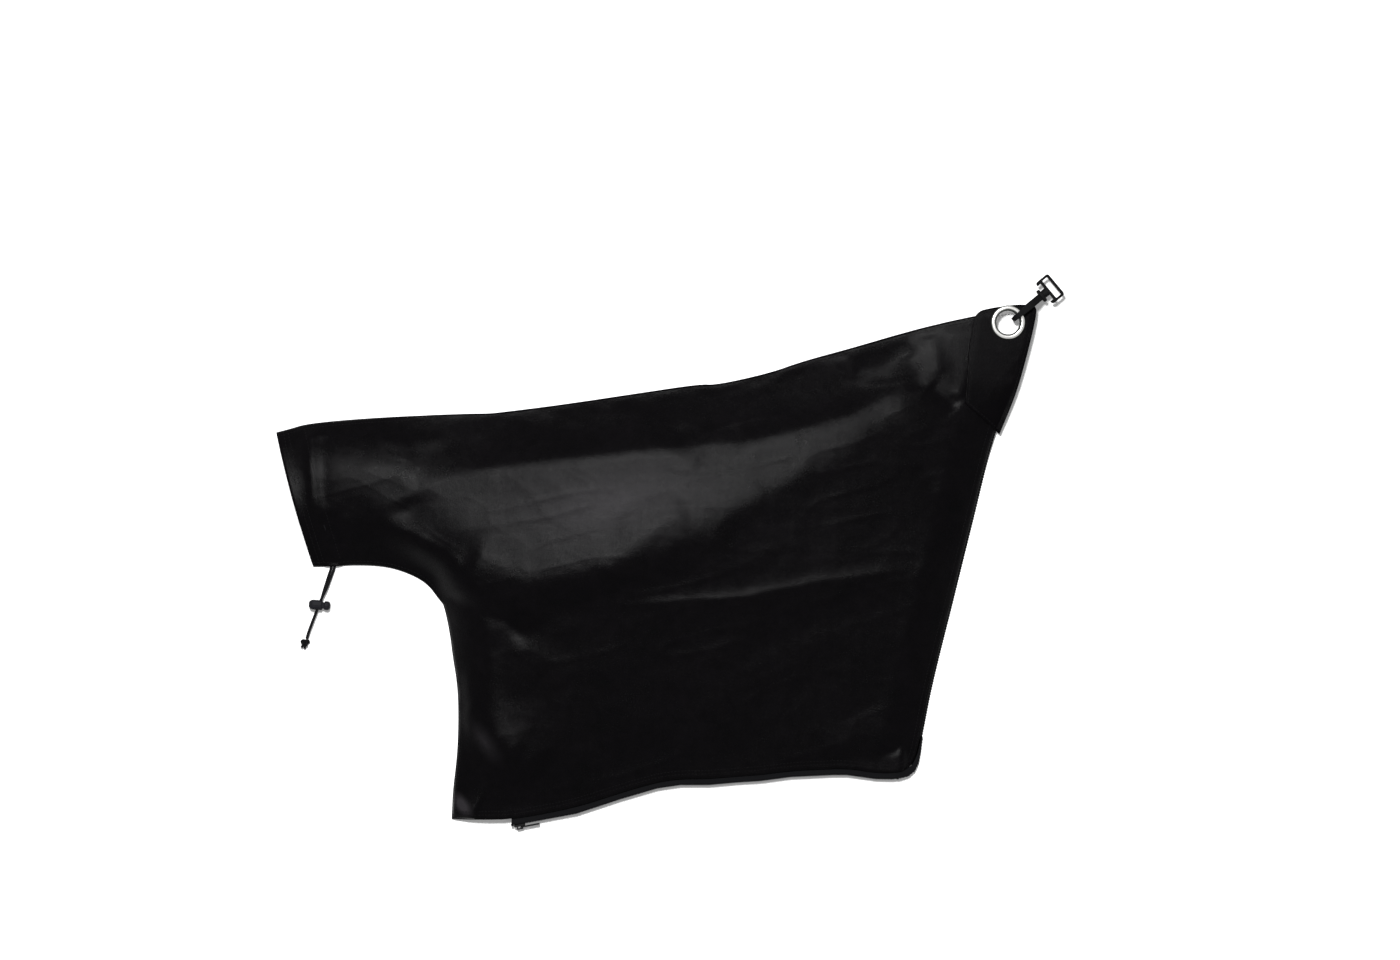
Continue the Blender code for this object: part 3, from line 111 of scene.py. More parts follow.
class Graph:
    """A material's node tree, with short calls to add and join its nodes."""

    def __init__(self, name: str) -> None:
        """Start a material whose one shader is a Principled BSDF.

        Args:
            name: The material's name.
        """
        self.material = bpy.data.materials.new(name)
        self.material.use_nodes = True
        self.tree = self.material.node_tree
        self.shader = self.tree.nodes["Principled BSDF"]
        self.place = self.add("ShaderNodeTexCoord").outputs["Object"]

    def add(self, kind: str, **values: object) -> bpy.types.Node:
        """Add a node.

        Args:
            kind: Blender's name of the node.
            values: Its settings, or values of its input sockets.

        Returns:
            The new node.
        """
        node = self.tree.nodes.new(kind)
        for key, value in values.items():
            if key in node.inputs:
                node.inputs[key].default_value = value
            else:
                setattr(node, key, value)
        return node

    def join(self, start: Socket, end: Socket) -> None:
        """Join an output to an input."""
        self.tree.links.new(start, end)

    def sockets(self, **values: object) -> None:
        """Set constants on the shader's own sockets; underscores stand for spaces."""
        for key, value in values.items():
            self.shader.inputs[key.replace("_", " ")].default_value = value

    def feed(self, **sources: Socket) -> None:
        """Join outputs to the shader's own sockets; underscores stand for spaces."""
        for key, source in sources.items():
            self.join(source, self.shader.inputs[key.replace("_", " ")])

    def noise(self, noise: Noise) -> Socket:
        """A noise over the object's own coordinates, from 0 to 1."""
        node = self.add("ShaderNodeTexNoise", Scale=noise.scale, Detail=noise.detail,
                        Roughness=noise.roughness)
        self.join(self.place, node.inputs["Vector"])
        return node.outputs["Fac"]

    def threads(self, pitch: float, axis: Axis) -> Socket:
        """Rounded ribs, one for each thread.

        Args:
            pitch: Way from thread to thread in metres.
            axis: Direction in which the threads are counted.

        Returns:
            The ribs' height, from 0 to 1.
        """
        node = self.add("ShaderNodeTexWave", bands_direction=axis.value, Scale=math.pi / (10 * pitch),
                        Distortion=1.2, Detail=1.0)
        node.inputs["Detail Scale"].default_value = 2.0
        self.join(self.place, node.inputs["Vector"])
        return node.outputs["Fac"]

    def spread(self, source: Socket, low: float, high: float) -> Socket:
        """Map a value from 0..1 onto a range."""
        node = self.add("ShaderNodeMapRange")
        node.inputs["To Min"].default_value = low
        node.inputs["To Max"].default_value = high
        self.join(source, node.inputs["Value"])
        return node.outputs["Result"]

    def spot(self, rub_and_painted_sheen: PaintedSheenSpot) -> Socket:
        """A painted sheen area, a painted highlight, as a soft spot: its strength in the middle, and 0 from
        its edge on.
        """
        place = self.add("ShaderNodeMapping", vector_type="TEXTURE", Location=rub_and_painted_sheen.middle,
                         Rotation=(0.0, 0.0, math.radians(rub_and_painted_sheen.turn)), Scale=rub_and_painted_sheen.size)
        self.join(self.place, place.inputs["Vector"])
        node = self.add("ShaderNodeTexGradient", gradient_type="QUADRATIC_SPHERE")
        self.join(place.outputs["Vector"], node.inputs["Vector"])
        return self.maths("MULTIPLY", node.outputs["Fac"], rub_and_painted_sheen.strength)

    def edge_wear(self, grain: Socket, span: Span) -> Socket:
        """Wear on the outer edges, broken up by a noise.

        Args:
            grain: The noise.
            span: Wear in the deepest hollow and on the sharpest edge, before it is held between 0 and 1.

        Returns:
            The wear, from 0 to 1.
        """
        edge = self.add("ShaderNodeNewGeometry").outputs["Pointiness"]
        return self.spread(self.maths("MULTIPLY", self.spread(edge, *span), grain), 0.0, 1.0)

    def blend(self, share: Socket, dark: tuple, light: tuple, under: Socket | None = None) -> Socket:
        """Mix two colours.

        Args:
            share: Share of the light colour.
            dark: The dark colour.
            light: The light colour.
            under: A colour to take in place of the dark one.

        Returns:
            The mixed colour.
        """
        node = self.add("ShaderNodeMix", data_type="RGBA")
        colours = [socket for socket in node.inputs if socket.type == "RGBA"]
        colours[0].default_value = (*dark, 1.0)
        colours[1].default_value = (*light, 1.0)
        if under is not None:
            self.join(under, colours[0])
        self.join(share, node.inputs["Factor"])
        return next(socket for socket in node.outputs if socket.type == "RGBA")

    def maths(self, operation: str, a: Socket, b: Socket | float) -> Socket:
        """One sum on two values; the second may be a number."""
        node = self.add("ShaderNodeMath", operation=operation)
        self.join(a, node.inputs[0])
        if isinstance(b, float):
            node.inputs[1].default_value = b
        else:
            self.join(b, node.inputs[1])
        return node.outputs[0]

    def relief(self, height: Socket, strength: float, depth: float) -> None:
        """Raise the surface's shading by a height.

        Args:
            height: Height from 0 to 1.
            strength: Share of the effect.
            depth: Height of 1 in metres.
        """
        node = self.add("ShaderNodeBump", Strength=strength, Distance=depth)
        self.join(height, node.inputs["Height"])
        self.join(node.outputs["Normal"], self.shader.inputs["Normal"])


@dataclass(frozen=True)
class WovenCloth:
    """Tight black coated polyester with a satin lustre, with painted sheen that lightens its colour in places
    as a painted highlight.
    """

    name: str = "black_cloth"
    deep: tuple = (0.0006, 0.0005, 0.0007)
    worn: tuple = (0.0020, 0.0016, 0.0021)
    worn_share: Span = (-0.2, 2.2)
    thread_pitch: float = 0.0011
    grain: Noise = Noise(620.0, 4.0, 0.7)
    cloud: Noise = Noise(22.0, 4.0)
    scuff: Noise = Noise(95.0, 6.0, 0.65)
    weave_height: float = 0.6
    grain_height: float = 1.1
    relief: float = 0.65
    relief_depth: float = 0.00018
    lustre: float = 0.03
    lustre_swing: Span = (0.55, 1.45)
    rough: Span = (0.24, 0.31)
    rubbed_and_painted_sheen: tuple = (0.019, 0.0174, 0.0196)
    painted_sheen_share: Span = (0.45, 1.15)
    # Painted sheen: soft ovals of lighter colour where the lamp's highlight falls, a painted highlight on the
    # cloth.
    painted_sheen_spots: tuple = (PaintedSheenSpot((-0.062, 0.05, 0.0), 10.0, (0.155, 0.062, 1.0), 1.0),
                   PaintedSheenSpot((-0.207, -0.252, 0.0), -52.0, (0.020, 0.010, 1.0), 2.6),
                   PaintedSheenSpot((-0.184, -0.188, 0.0), -56.0, (0.036, 0.014, 1.0), 0.7))

    def make(self) -> Material:
        """Build the material."""
        graph = Graph(self.name)
        weave = graph.maths("MULTIPLY", *[graph.threads(self.thread_pitch, axis) for axis in Axis])
        grain, cloud, scuff = [graph.noise(noise) for noise in (self.grain, self.cloud, self.scuff)]
        shade = graph.maths("MULTIPLY", cloud, scuff)
        plain = graph.blend(graph.spread(shade, *self.worn_share), self.deep, self.worn)
        every, *others = [graph.spot(rub_and_painted_sheen) for rub_and_painted_sheen in self.painted_sheen_spots]
        for spot in others:
            every = graph.maths("ADD", every, spot)
        rubbed_and_painted_sheen = graph.maths("MULTIPLY", every, graph.spread(scuff, *self.painted_sheen_share))
        height = graph.maths("ADD", graph.maths("MULTIPLY", weave, self.weave_height),
                             graph.maths("MULTIPLY", grain, self.grain_height))
        graph.relief(height, self.relief, self.relief_depth)
        lustre = [swing * self.lustre for swing in self.lustre_swing]
        # The base colour takes the painted highlight over the plain mottled tone.
        graph.feed(Base_Color=graph.blend(rubbed_and_painted_sheen, self.deep, self.rubbed_and_painted_sheen, plain),
                   Roughness=graph.spread(scuff, *self.rough),
                   Specular_IOR_Level=graph.spread(grain, *lustre))
        return graph.material


@dataclass(frozen=True)
class NickelPlate:
    """Bright nickel with fine rub marks."""

    name: str = "nickel_plate"
    colour: tuple = (0.66, 0.65, 0.63)
    rubbed_and_painted_sheen: tuple = (0.42, 0.42, 0.41)
    rub_and_painted_sheen: Noise = Noise(900.0, 6.0, 0.7)
    stain: Noise = Noise(120.0, 4.0)
    rough: Span = (0.14, 0.3)
    relief: float = 0.12
    relief_depth: float = 0.00006

    def make(self) -> Material:
        """Build the material."""
        graph = Graph(self.name)
        rub_and_painted_sheen = graph.noise(self.rub_and_painted_sheen)
        graph.feed(Base_Color=graph.blend(graph.noise(self.stain), self.colour, self.rubbed_and_painted_sheen),
                   Roughness=graph.spread(rub_and_painted_sheen, *self.rough))
        graph.relief(rub_and_painted_sheen, self.relief, self.relief_depth)
        graph.sockets(Metallic=1.0)
        return graph.material


@dataclass(frozen=True)
class MouldedPlastic:
    """Moulded plastic with a faint orange peel and rubbed edges."""

    name: str
    colour: tuple
    rough: float
    lustre: float
    rough_swing: Span = (-0.06, 0.1)
    wear: Span = (-4.0, 5.0)
    wear_gain: float = 2.0
    wear_lift: float = 0.004
    peel: Noise = Noise(1400.0)
    haze: Noise = Noise(160.0, 5.0)
    relief: float = 0.15
    relief_depth: float = 0.00008

    def make(self) -> Material:
        """Build the material."""
        graph = Graph(self.name)
        haze = graph.noise(self.haze)
        lighter = tuple(channel * self.wear_gain + self.wear_lift for channel in self.colour)
        graph.feed(Base_Color=graph.blend(graph.edge_wear(haze, self.wear), self.colour, lighter),
                   Roughness=graph.spread(haze, *[self.rough + swing for swing in self.rough_swing]))
        graph.relief(graph.noise(self.peel), self.relief, self.relief_depth)
        graph.sockets(Specular_IOR_Level=self.lustre)
        return graph.material


@dataclass(frozen=True)
class Braid:
    """Braided or woven synthetic thread."""

    name: str
    colour: tuple = (0.003, 0.003, 0.0035)
    lighter: tuple = (0.012, 0.0115, 0.0128)
    strand: float = 0.0007
    fibres: Noise = Noise(2600.0, 4.0, 0.7)
    rough: Span = (0.6, 0.85)
    lustre: float = 0.04
    relief: float = 0.5
    relief_depth: float = 0.00015

    def make(self) -> Material:
        """Build the material."""
        graph = Graph(self.name)
        fibres = graph.noise(self.fibres)
        mixed = graph.maths("MULTIPLY", fibres, graph.threads(self.strand, Axis.WEFT))
        graph.feed(Base_Color=graph.blend(mixed, self.colour, self.lighter),
                   Roughness=graph.spread(fibres, *self.rough))
        graph.relief(mixed, self.relief, self.relief_depth)
        graph.sockets(Specular_IOR_Level=self.lustre)
        return graph.material


@dataclass(frozen=True)
class PaintedZinc:
    """Black painted zinc, rubbed to grey on its edges."""

    name: str = "painted_zinc"
    colour: tuple = (0.003, 0.003, 0.0034)
    chipped: tuple = (0.012, 0.012, 0.0125)
    chips: Noise = Noise(700.0, 6.0, 0.6)
    wear: Span = (-5.0, 6.2)
    rough: Span = (0.28, 0.5)
    lustre: float = 0.03
    relief: float = 0.15
    relief_depth: float = 0.00008

    def make(self) -> Material:
        """Build the material."""
        graph = Graph(self.name)
        chips = graph.noise(self.chips)
        graph.feed(Base_Color=graph.blend(graph.edge_wear(chips, self.wear), self.colour, self.chipped),
                   Roughness=graph.spread(chips, *self.rough))
        graph.relief(chips, self.relief, self.relief_depth)
        graph.sockets(Specular_IOR_Level=self.lustre)
        return graph.material


@dataclass
class Finishes:
    """Every finish of the bag, made once."""

    cloth: Material = field(default_factory=WovenCloth().make)
    # The patch cloth takes the same painted highlight ovals.
    patch: Material = field(default_factory=WovenCloth(
        "patch_cloth", (0.0009, 0.0008, 0.0010), lustre=0.019, rough=(0.3, 0.4)).make)
    nickel: Material = field(default_factory=NickelPlate().make)
    # Painted shade: a dark non-metal finish for the eyelet's bore edge and outer rim.
    painted_rim_shade: Material = field(
        default_factory=MouldedPlastic("painted_rim_shade", (0.03, 0.033, 0.03), 0.6, 0.05).make)
    clip: Material = field(
        default_factory=MouldedPlastic("clip_plastic", (0.0022, 0.0022, 0.0024), 0.6, 0.025).make)
    lock: Material = field(
        default_factory=MouldedPlastic("lock_plastic", (0.004, 0.004, 0.0055), 0.42, 0.05).make)
    coil: Material = field(
        default_factory=MouldedPlastic("zip_nylon", (0.004, 0.004, 0.0045), 0.5, 0.1).make)
    cord: Material = field(default_factory=Braid("cord_braid").make)
    thread: Material = field(
        default_factory=Braid("seam_thread", (0.0035, 0.0033, 0.0037), (0.009, 0.0085, 0.0092), 0.0004).make)
    tape: Material = field(
        default_factory=Braid("zip_tape_weave", (0.0025, 0.0025, 0.003), (0.007, 0.007, 0.008), 0.0006).make)
    zinc: Material = field(default_factory=PaintedZinc().make)
    steel: Material = field(
        default_factory=NickelPlate("spring_steel", (0.5, 0.5, 0.5), (0.35, 0.35, 0.35)).make)


def smooth(value: np.ndarray) -> np.ndarray:
    """Smooth step from 0 to 1."""
    held = np.clip(value, 0.0, 1.0)
    return held * held * (3.0 - 2.0 * held)


@dataclass(frozen=True)
class Hills:
    """Smooth random hills over plan points.

    The cell is a hill's size along and across its direction in millimetres, and the turn is that direction's
    angle in degrees.
    """

    cell: Span
    turn: float
    seed: int
    height: float = 1.0
    table_size: int = 97
    ridge_sharpness: float = 2.2

    def level(self, points: np.ndarray) -> np.ndarray:
        """Levels at plan points, from -1 to 1."""
        size = self.table_size
        table = np.random.default_rng(self.seed).uniform(-1.0, 1.0, (size, size))
        angle = math.radians(self.turn)
        along = points @ np.array([math.cos(angle), math.sin(angle)]) / self.cell[0]
        across = points @ np.array([-math.sin(angle), math.cos(angle)]) / self.cell[1]
        i, j = np.floor(along).astype(int), np.floor(across).astype(int)
        u, v = smooth(along - i), smooth(across - j)
        corner = [table[(i + a) % size, (j + b) % size] for a in (0, 1) for b in (0, 1)]
        return (corner[0] * (1 - u) * (1 - v) + corner[1] * (1 - u) * v
                + corner[2] * u * (1 - v) + corner[3] * u * v)

    def over(self, points: np.ndarray) -> np.ndarray:
        """The hills' heights at plan points."""
        return self.level(points) * self.height

    def ridges(self, points: np.ndarray) -> np.ndarray:
        """Heights of the narrow ridges that run where the hills' level is 0."""
        return self.height * np.maximum(1.0 - np.abs(self.level(points)) * self.ridge_sharpness, 0.0) ** 3


def unit(rows: np.ndarray) -> np.ndarray:
    """Rows of vectors, each made one long."""
    return rows / np.linalg.norm(rows, axis=1)[:, None]


def rightward(along: np.ndarray) -> np.ndarray:
    """Plan directions, each turned a quarter to its right."""
    return np.column_stack([along[:, 1], -along[:, 0]])


def way_along(run: Run | np.ndarray) -> np.ndarray:
    """Way from the first point of a polyline to each of its points."""
    return np.concatenate([[0.0], np.cumsum(np.linalg.norm(np.diff(np.array(run, float), axis=0), axis=1))])


def turns(count: int) -> np.ndarray:
    """Evenly spaced angles of one full turn."""
    return np.linspace(0.0, 2 * math.pi, count + 1)[:-1]


def nearest(points: np.ndarray, run: Run) -> tuple[np.ndarray, np.ndarray, np.ndarray]:
    """Where plan points lie beside a polyline.

    Args:
        points: Plan points, one in each row.
        run: The polyline.

    Returns:
        Way to it, its sign (positive on the left of the run), and the share of the run passed.
    """
    knots = np.array(run, float)
    steps = np.diff(knots, axis=0)
    lengths = np.linalg.norm(steps, axis=1)
    passed = way_along(knots)
    best = np.full(len(points), 1e9)
    side = np.ones(len(points))
    share = np.zeros(len(points))
    for start, step, length, before in zip(knots, steps, lengths, passed):
        away = points - start
        t = np.clip(away @ step / length ** 2, 0.0, 1.0)
        gap = np.linalg.norm(away - t[:, None] * step, axis=1)
        closer = gap < best
        cross = step[0] * away[:, 1] - step[1] * away[:, 0]
        best = np.where(closer, gap, best)
        side = np.where(closer, np.sign(cross), side)
        share = np.where(closer, (before + t * length) / passed[-1], share)
    return best, side, share


def resample(run: Run, count: int) -> np.ndarray:
    """Evenly spaced points of a polyline.

    Args:
        run: The polyline.
        count: Number of stretches between the points.

    Returns:
        One point in each row.
    """
    knots = np.array(run, float)
    passed = way_along(knots)
    at = np.linspace(0.0, passed[-1], count + 1)
    return np.stack([np.interp(at, passed, knots[:, axis]) for axis in range(knots.shape[1])], axis=1)


def rounded_run(run: Run) -> Run:
    """A polyline with its corners cut back twice, as cloth edges have them."""
    points = np.array(run, float)
    for _ in range(2):
        cut = [points[0]]
        for start, end in zip(points, points[1:]):
            cut += [0.75 * start + 0.25 * end, 0.25 * start + 0.75 * end]
        cut.append(points[-1])
        points = np.array(cut)
    return [tuple(point) for point in points]


def rounded(run: Run, count: int) -> np.ndarray:
    """Evenly spaced points of a polyline whose corners are cut back."""
    return resample(rounded_run(run), count)


@dataclass(frozen=True)
class Plan:
    """The flat bag's outline in millimetres, before it is set on the frame's origin."""

    shift: Span = (0.5995, 2.3263)
    sleeve_top: tuple = ((-394, 117.5), (-382, 120.5), (-362, 126.5), (-305, 131.5), (-240, 135),
                         (-200, 136.3))
    body_top: tuple = ((-200, 136.3), (-182, 136.5), (-170, 137.5), (-110, 145), (-30, 157), (30, 166),
                       (46, 165), (100, 177), (130, 188), (180, 201.5), (240, 219), (290, 231.0),
                       (337, 239.5), (353, 240.7), (361.2, 236.5))
    right_upper: tuple = ((361.2, 236.5), (356.5, 215), (344, 165), (335, 142), (325, 119), (322.5, 110),
                          (317, 91), (305, 40), (292, -12))
    right_lower: tuple = ((292, -12), (280, -61), (270, -100), (260, -142), (255, -168), (251.5, -186),
                          (247.5, -204), (243, -214))
    bottom: tuple = ((-218.3, -269.0), (-181, -269), (-158, -268.5), (-95, -256.8), (-50, -242),
                     (-14, -231.5), (10, -228), (38, -228), (66, -225.5), (90, -224), (120, -220),
                     (162, -218), (177, -218), (192, -220), (206, -222), (222, -222.3), (234, -220),
                     (243, -214))
    left_lower: tuple = ((-227, -54), (-224, -64), (-220, -84), (-217, -108), (-213, -132), (-211.5, -156),
                         (-212, -192), (-214, -216), (-217, -240), (-218.3, -269.0))
    sleeve_bottom: tuple = ((-357, -16.5), (-332, -16.5), (-325, -15.3), (-310, -15), (-295, -15.5),
                            (-280, -17.5), (-265, -22), (-250, -29), (-240, -37), (-232, -48), (-227, -54))
    fold: tuple = ((-227, -54), (-185, -66), (-149, -70), (-110, -59), (-70, -53), (-20, -52), (73, -45),
                   (158, -29), (266, -15), (292, -12))
    eyelet: Span = (337.0, 227.0)
    patch_top: tuple = ((303, 231.5), (308, 238), (315, 240.5), (337, 244), (353, 245.2), (364, 242.7))
    patch_right: tuple = ((364, 242.7), (366, 239), (361, 214), (348, 164), (339, 140), (329, 116))
    patch_left: tuple = ((303, 231.5), (298, 200), (294, 146))
    patch_bottom: tuple = ((294, 146), (329, 116))

    def seams(self) -> list[Run]:
        """The five sewn runs round the bag."""
        return [self.sleeve_top + self.body_top[1:], self.right_upper + self.right_lower[1:], self.bottom,
                self.left_lower, self.sleeve_bottom]

    def lip(self) -> Run:
        """The mouth's edge, from top to bottom."""
        return [self.sleeve_top[0], self.sleeve_bottom[0]]

    def eyelet_way(self, points: np.ndarray) -> np.ndarray:
        """Way from the eyelet's middle to plan points."""
        return np.linalg.norm(points - np.array(self.eyelet), axis=1)

    def to_row(self, points: np.ndarray) -> np.ndarray:
        """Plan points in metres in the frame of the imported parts."""
        return (np.asarray(points, float) + np.array(self.shift)) * MM

    def lifted(self, points: np.ndarray, heights: np.ndarray) -> np.ndarray:
        """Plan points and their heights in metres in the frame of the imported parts."""
        return np.column_stack([self.to_row(points), heights * MM])


@dataclass(frozen=True)
class Fold:
    """One fold of the front cloth: a run of plan points in millimetres and its two flanks.

    The left flank is the one on the left hand along the run. A power of 1 gives a sharp crest and 2 a round
    one. The fold sinks away over its fade, in millimetres, toward the bag's edges, and over its ends, a share
    of the run.
    """

    run: tuple
    height: float
    left: float
    right: float
    power: float = 2.0
    ends: float = 0.18
    fade: float = 14.0
    least: float = 0.12

    def over(self, points: np.ndarray) -> np.ndarray:
        """Height that the fold adds at plan points."""
        way, side, share = nearest(points, self.run)
        width = np.where(side > 0, self.left, self.right)
        taper = smooth(np.minimum(share, 1.0 - share) / self.ends + self.least)
        return self.height * taper * np.exp(-((way / width) ** self.power))


@dataclass(frozen=True)
class Lie:
    """How the cloth lies: the filled shape as lines with heights in millimetres, and the folds on it."""

    plan: Plan
    cloth: float = 0.7
    gap: float = 0.3
    cell: float = 2.0
    soften: float = 8.0
    tab_lift: float = 13.85
    tab_level: float = 21.0
    tab_lift_reach: float = 150.0
    tab_flat: float = 34.0
    tab_swell: float = 110.0
    zip_rise: float = 10.3
    zip_level: float = 15.0
    zip_depth: float = 22.0
    raster_x: Span = (-402.0, 374.0)
    raster_y: Span = (-282.0, 256.0)
    shoulder: tuple = ((-394, 84, 17.2), (-330, 84, 19.8), (-270, 78, 22.9), (-229, 73, 25.1), (-180, 80, 26),
                       (-101, 91, 28.2), (-20, 99, 29), (80, 107, 29), (140, 120, 28.2), (180, 133, 26),
                       (248, 166, 21.1), (290, 195, 13.2), (366, 220, 7.9))
    crest: tuple = ((-394, 34, 24.2), (-330, 34, 26.8), (-270, 16, 30.8), (-229, -6, 36.1), (-143, -30, 42.7),
                    (-85, -22, 44), (-20, -2, 43.1), (50, 28, 39.6), (100, 58, 36.5), (150, 92, 33.4),
                    (180, 106, 31.7), (230, 132, 26.4), (270, 150, 21.1), (300, 162, 15.8), (366, 180, 10.1))
    fold_height: tuple = ((-227, 24.2), (-149, 30.8), (-70, 35.2), (0, 33.9), (80, 30.8), (158, 26.8),
                          (266, 18.9), (292, 15.8))
    middle: tuple = ((-220, -165, 16), (-150, -160, 24), (0, -140, 22), (120, -130, 19), (262, -125, 13))
    side_roll: float = 42.0
    sleeve_height: float = 31.0
    sleeve_roll: float = 110.0
    sleeve_form_end: float = -318.0
    sleeve_form_fade: float = 75.0
    roll_power: float = 0.75
    mouth_share: float = 0.86
    mouth_fade: float = 90.0
    free_fade: float = 14.0
    lip_band: Span = (3.0, 22.0)
    open_left: Span = (-181.0, 37.0)
    open_right: Span = (230.0, 13.0)
    cord_exit: Span = (-336.8, -16.2)
    cord_exit_reach: Span = (5.0, 6.0)
    cord_exit_rise: float = 3.6
    sewn: tuple = ("sleeve_top", "body_top", "right_upper", "right_lower", "left_lower")
    rolled: tuple = ("right_upper", "right_lower", "left_lower", "sleeve_bottom")
    creases: tuple = (Hills((95.0, 24.0), 14.0, 5, 0.55), Hills((38.0, 13.0), -28.0, 11, 0.3))
    swells: tuple = (Hills((46.0, 30.0), 20.0, 23, 0.9), Hills((17.0, 12.0), 60.0, 31, 0.28))
    crease_share: float = 0.55
    swell_share: float = 0.6
    puckers: Hills = Hills((9.0, 7.0), 8.0, 41, 0.55)
    pucker_start: float = 2.5
    pucker_reach: float = 9.0
    folds: tuple = (
        Fold(((-229, 72), (-165, 84), (-101, 92), (-20, 100), (80, 108), (180, 134), (248, 168)),
             1.8, 12.0, 26.0, 1.5),
        Fold(((-60, 22), (20, 40), (100, 62)), 1.0, 22.0, 18.0, 1.8),
        Fold(((-75, -28), (-25, 14), (20, 40)), 1.6, 20.0, 16.0, 1.8),
        Fold(((-80, -54), (-20, -52), (73, -45), (158, -29), (266, -15)), 1.5, 6.0, 17.0, 1.3, 0.3),
        Fold(((-230, -46), (-196, -58), (-160, -70), (-138, -94)), -2.4, 14.0, 9.0, 1.7),
        Fold(((-222, -34), (-168, -52), (-120, -68)), 2.2, 18.0, 11.0, 1.8),
        Fold(((-160, -92), (-128, -106), (-100, -136)), 1.2, 16.0, 20.0, 1.9),
        Fold(((-392, 88), (-330, 88), (-250, 86)), 1.6, 30.0, 28.0, 2.0, 0.14),
        Fold(((-359, 126), (-357, 80), (-354, 34)), 2.6, 9.0, 5.0, 1.3),
        Fold(((-347, 118), (-343, 40)), -1.3, 7.0, 14.0, 1.7),
        Fold(((-352, 30), (-334, 16), (-316, 4)), -2.2, 9.0, 15.0, 1.2),
        Fold(((-330, 34), (-314, 22), (-298, 2)), 1.6, 9.0, 7.0, 1.6),
        Fold(((-264, 54), (-252, 26), (-222, -2), (-190, -14)), -4.2, 22.0, 20.0, 1.9),
        Fold(((-372, 22), (-362, -8)), 1.4, 6.0, 6.0, 1.5),
        Fold(((298, 224), (297, 190), (292, 164), (286, 148)), 3.8, 7.0, 10.0, 1.4),
        Fold(((258, 164), (274, 152), (286, 140)), -3.6, 9.0, 9.0, 1.6),
        Fold(((262, 217), (266, 196), (270, 176)), 2.6, 10.0, 9.0, 1.5),
        Fold(((238, 196), (246, 176), (250, 158)), -1.8, 11.0, 11.0, 1.8),
        Fold(((180, 176), (214, 186), (246, 204)), 1.5, 12.0, 12.0, 1.8),
        Fold(((-212, -120), (-192, -150), (-166, -184), (-128, -226)), 4.2, 24.0, 22.0, 1.8),
        Fold(((-214, -160), (-188, -184), (-150, -208)), 2.8, 17.0, 13.0, 1.8),
        Fold(((-226, -258), (-210, -261), (-194, -267)), 5.0, 19.0, 6.0, 1.4, 0.1, 3.0),
        Fold(((270, 56), (277, 30), (281, 8)), -0.6, 11.0, 10.0, 1.9),
        Fold(((248, 86), (262, 60), (272, 40)), -0.7, 11.0, 11.0, 1.8),
        Fold(((0, 120), (34, 98), (80, 108)), -1.3, 15.0, 15.0, 1.9),
        Fold(((160, -150), (196, -120), (224, -96)), 0.5, 22.0, 18.0, 1.8),
        Fold(((-60, -170), (20, -160), (90, -176)), 0.8, 26.0, 26.0, 2.0),
        Fold(((-150, 124), (-90, 118), (-40, 128)), -1.2, 12.0, 12.0, 1.8),
        Fold(((-300, 112), (-262, 106), (-220, 112)), 1.2, 10.0, 12.0, 1.7),
        Fold(((-394, 117), (-377, 56), (-366, 16)), 1.3, 10.0, 10.0, 1.3, 0.2, 2.5),
    )

    def seam_way(self, points: np.ndarray, names: tuple[str, ...]) -> np.ndarray:
        """Shortest way to the named edges of the plan."""
        return np.min([nearest(points, getattr(self.plan, name))[0] for name in names], axis=0)

    @cached_property
    def raster(self) -> tuple[np.ndarray, np.ndarray, np.ndarray]:
        """Filled height on a plan raster, from the heights along the shape's lines.

        Returns:
            The raster's x and y stations, and the heights, one row for each y.
        """
        plan = self.plan
        xs, ys = [np.arange(*ends, self.cell) for ends in (self.raster_x, self.raster_y)]

        def value(x: float, line: tuple, column: int = 1) -> float:
            """A line's value at a station."""
            known = np.array(line)
            return np.interp(x, known[:, 0], known[:, column])

        heights = np.zeros((len(ys), len(xs)))
        for column, x in enumerate(xs):
            lines = [(value(x, plan.sleeve_top + plan.body_top[1:]), 0.0)]
            lines += [(value(x, line), value(x, line, 2)) for line in (self.shoulder, self.crest)]
            if x < plan.fold[0][0]:
                lines.append((value(x, plan.sleeve_bottom), 0.0))
            else:
                lines += [(value(x, plan.fold), value(x, self.fold_height)),
                          (value(x, self.middle), value(x, self.middle, 2)),
                          (value(x, plan.bottom), self.zip_rise)]
            lines = np.array(lines[::-1])
            heights[:, column] = np.interp(ys, lines[:, 0], lines[:, 1])
        reach = int(3 * self.soften / self.cell)
        kernel = np.exp(-0.5 * (np.arange(-reach, reach + 1) * self.cell / self.soften) ** 2)
        kernel /= kernel.sum()
        for axis in (0, 1):
            padded = np.apply_along_axis(lambda row: np.pad(row, reach, mode="edge"), axis, heights)
            heights = np.apply_along_axis(lambda row: np.convolve(row, kernel, "valid"), axis, padded)
        return xs, ys, heights

    def filled(self, points: np.ndarray) -> np.ndarray:
        """Height of the filled shape at plan points."""
        xs, ys, heights = self.raster
        u = np.clip((points[:, 0] - xs[0]) / self.cell, 0, len(xs) - 1.001)
        v = np.clip((points[:, 1] - ys[0]) / self.cell, 0, len(ys) - 1.001)
        i, j = u.astype(int), v.astype(int)
        a, b = u - i, v - j
        return (heights[j, i] * (1 - a) * (1 - b) + heights[j, i + 1] * a * (1 - b)
                + heights[j + 1, i] * (1 - a) * b + heights[j + 1, i + 1] * a * b)

    def back(self, points: np.ndarray) -> np.ndarray:
        """Height of the back cloth's lower face."""
        way = self.plan.eyelet_way(points) - self.tab_level
        return self.tab_lift * smooth(1.0 - way / self.tab_lift_reach)

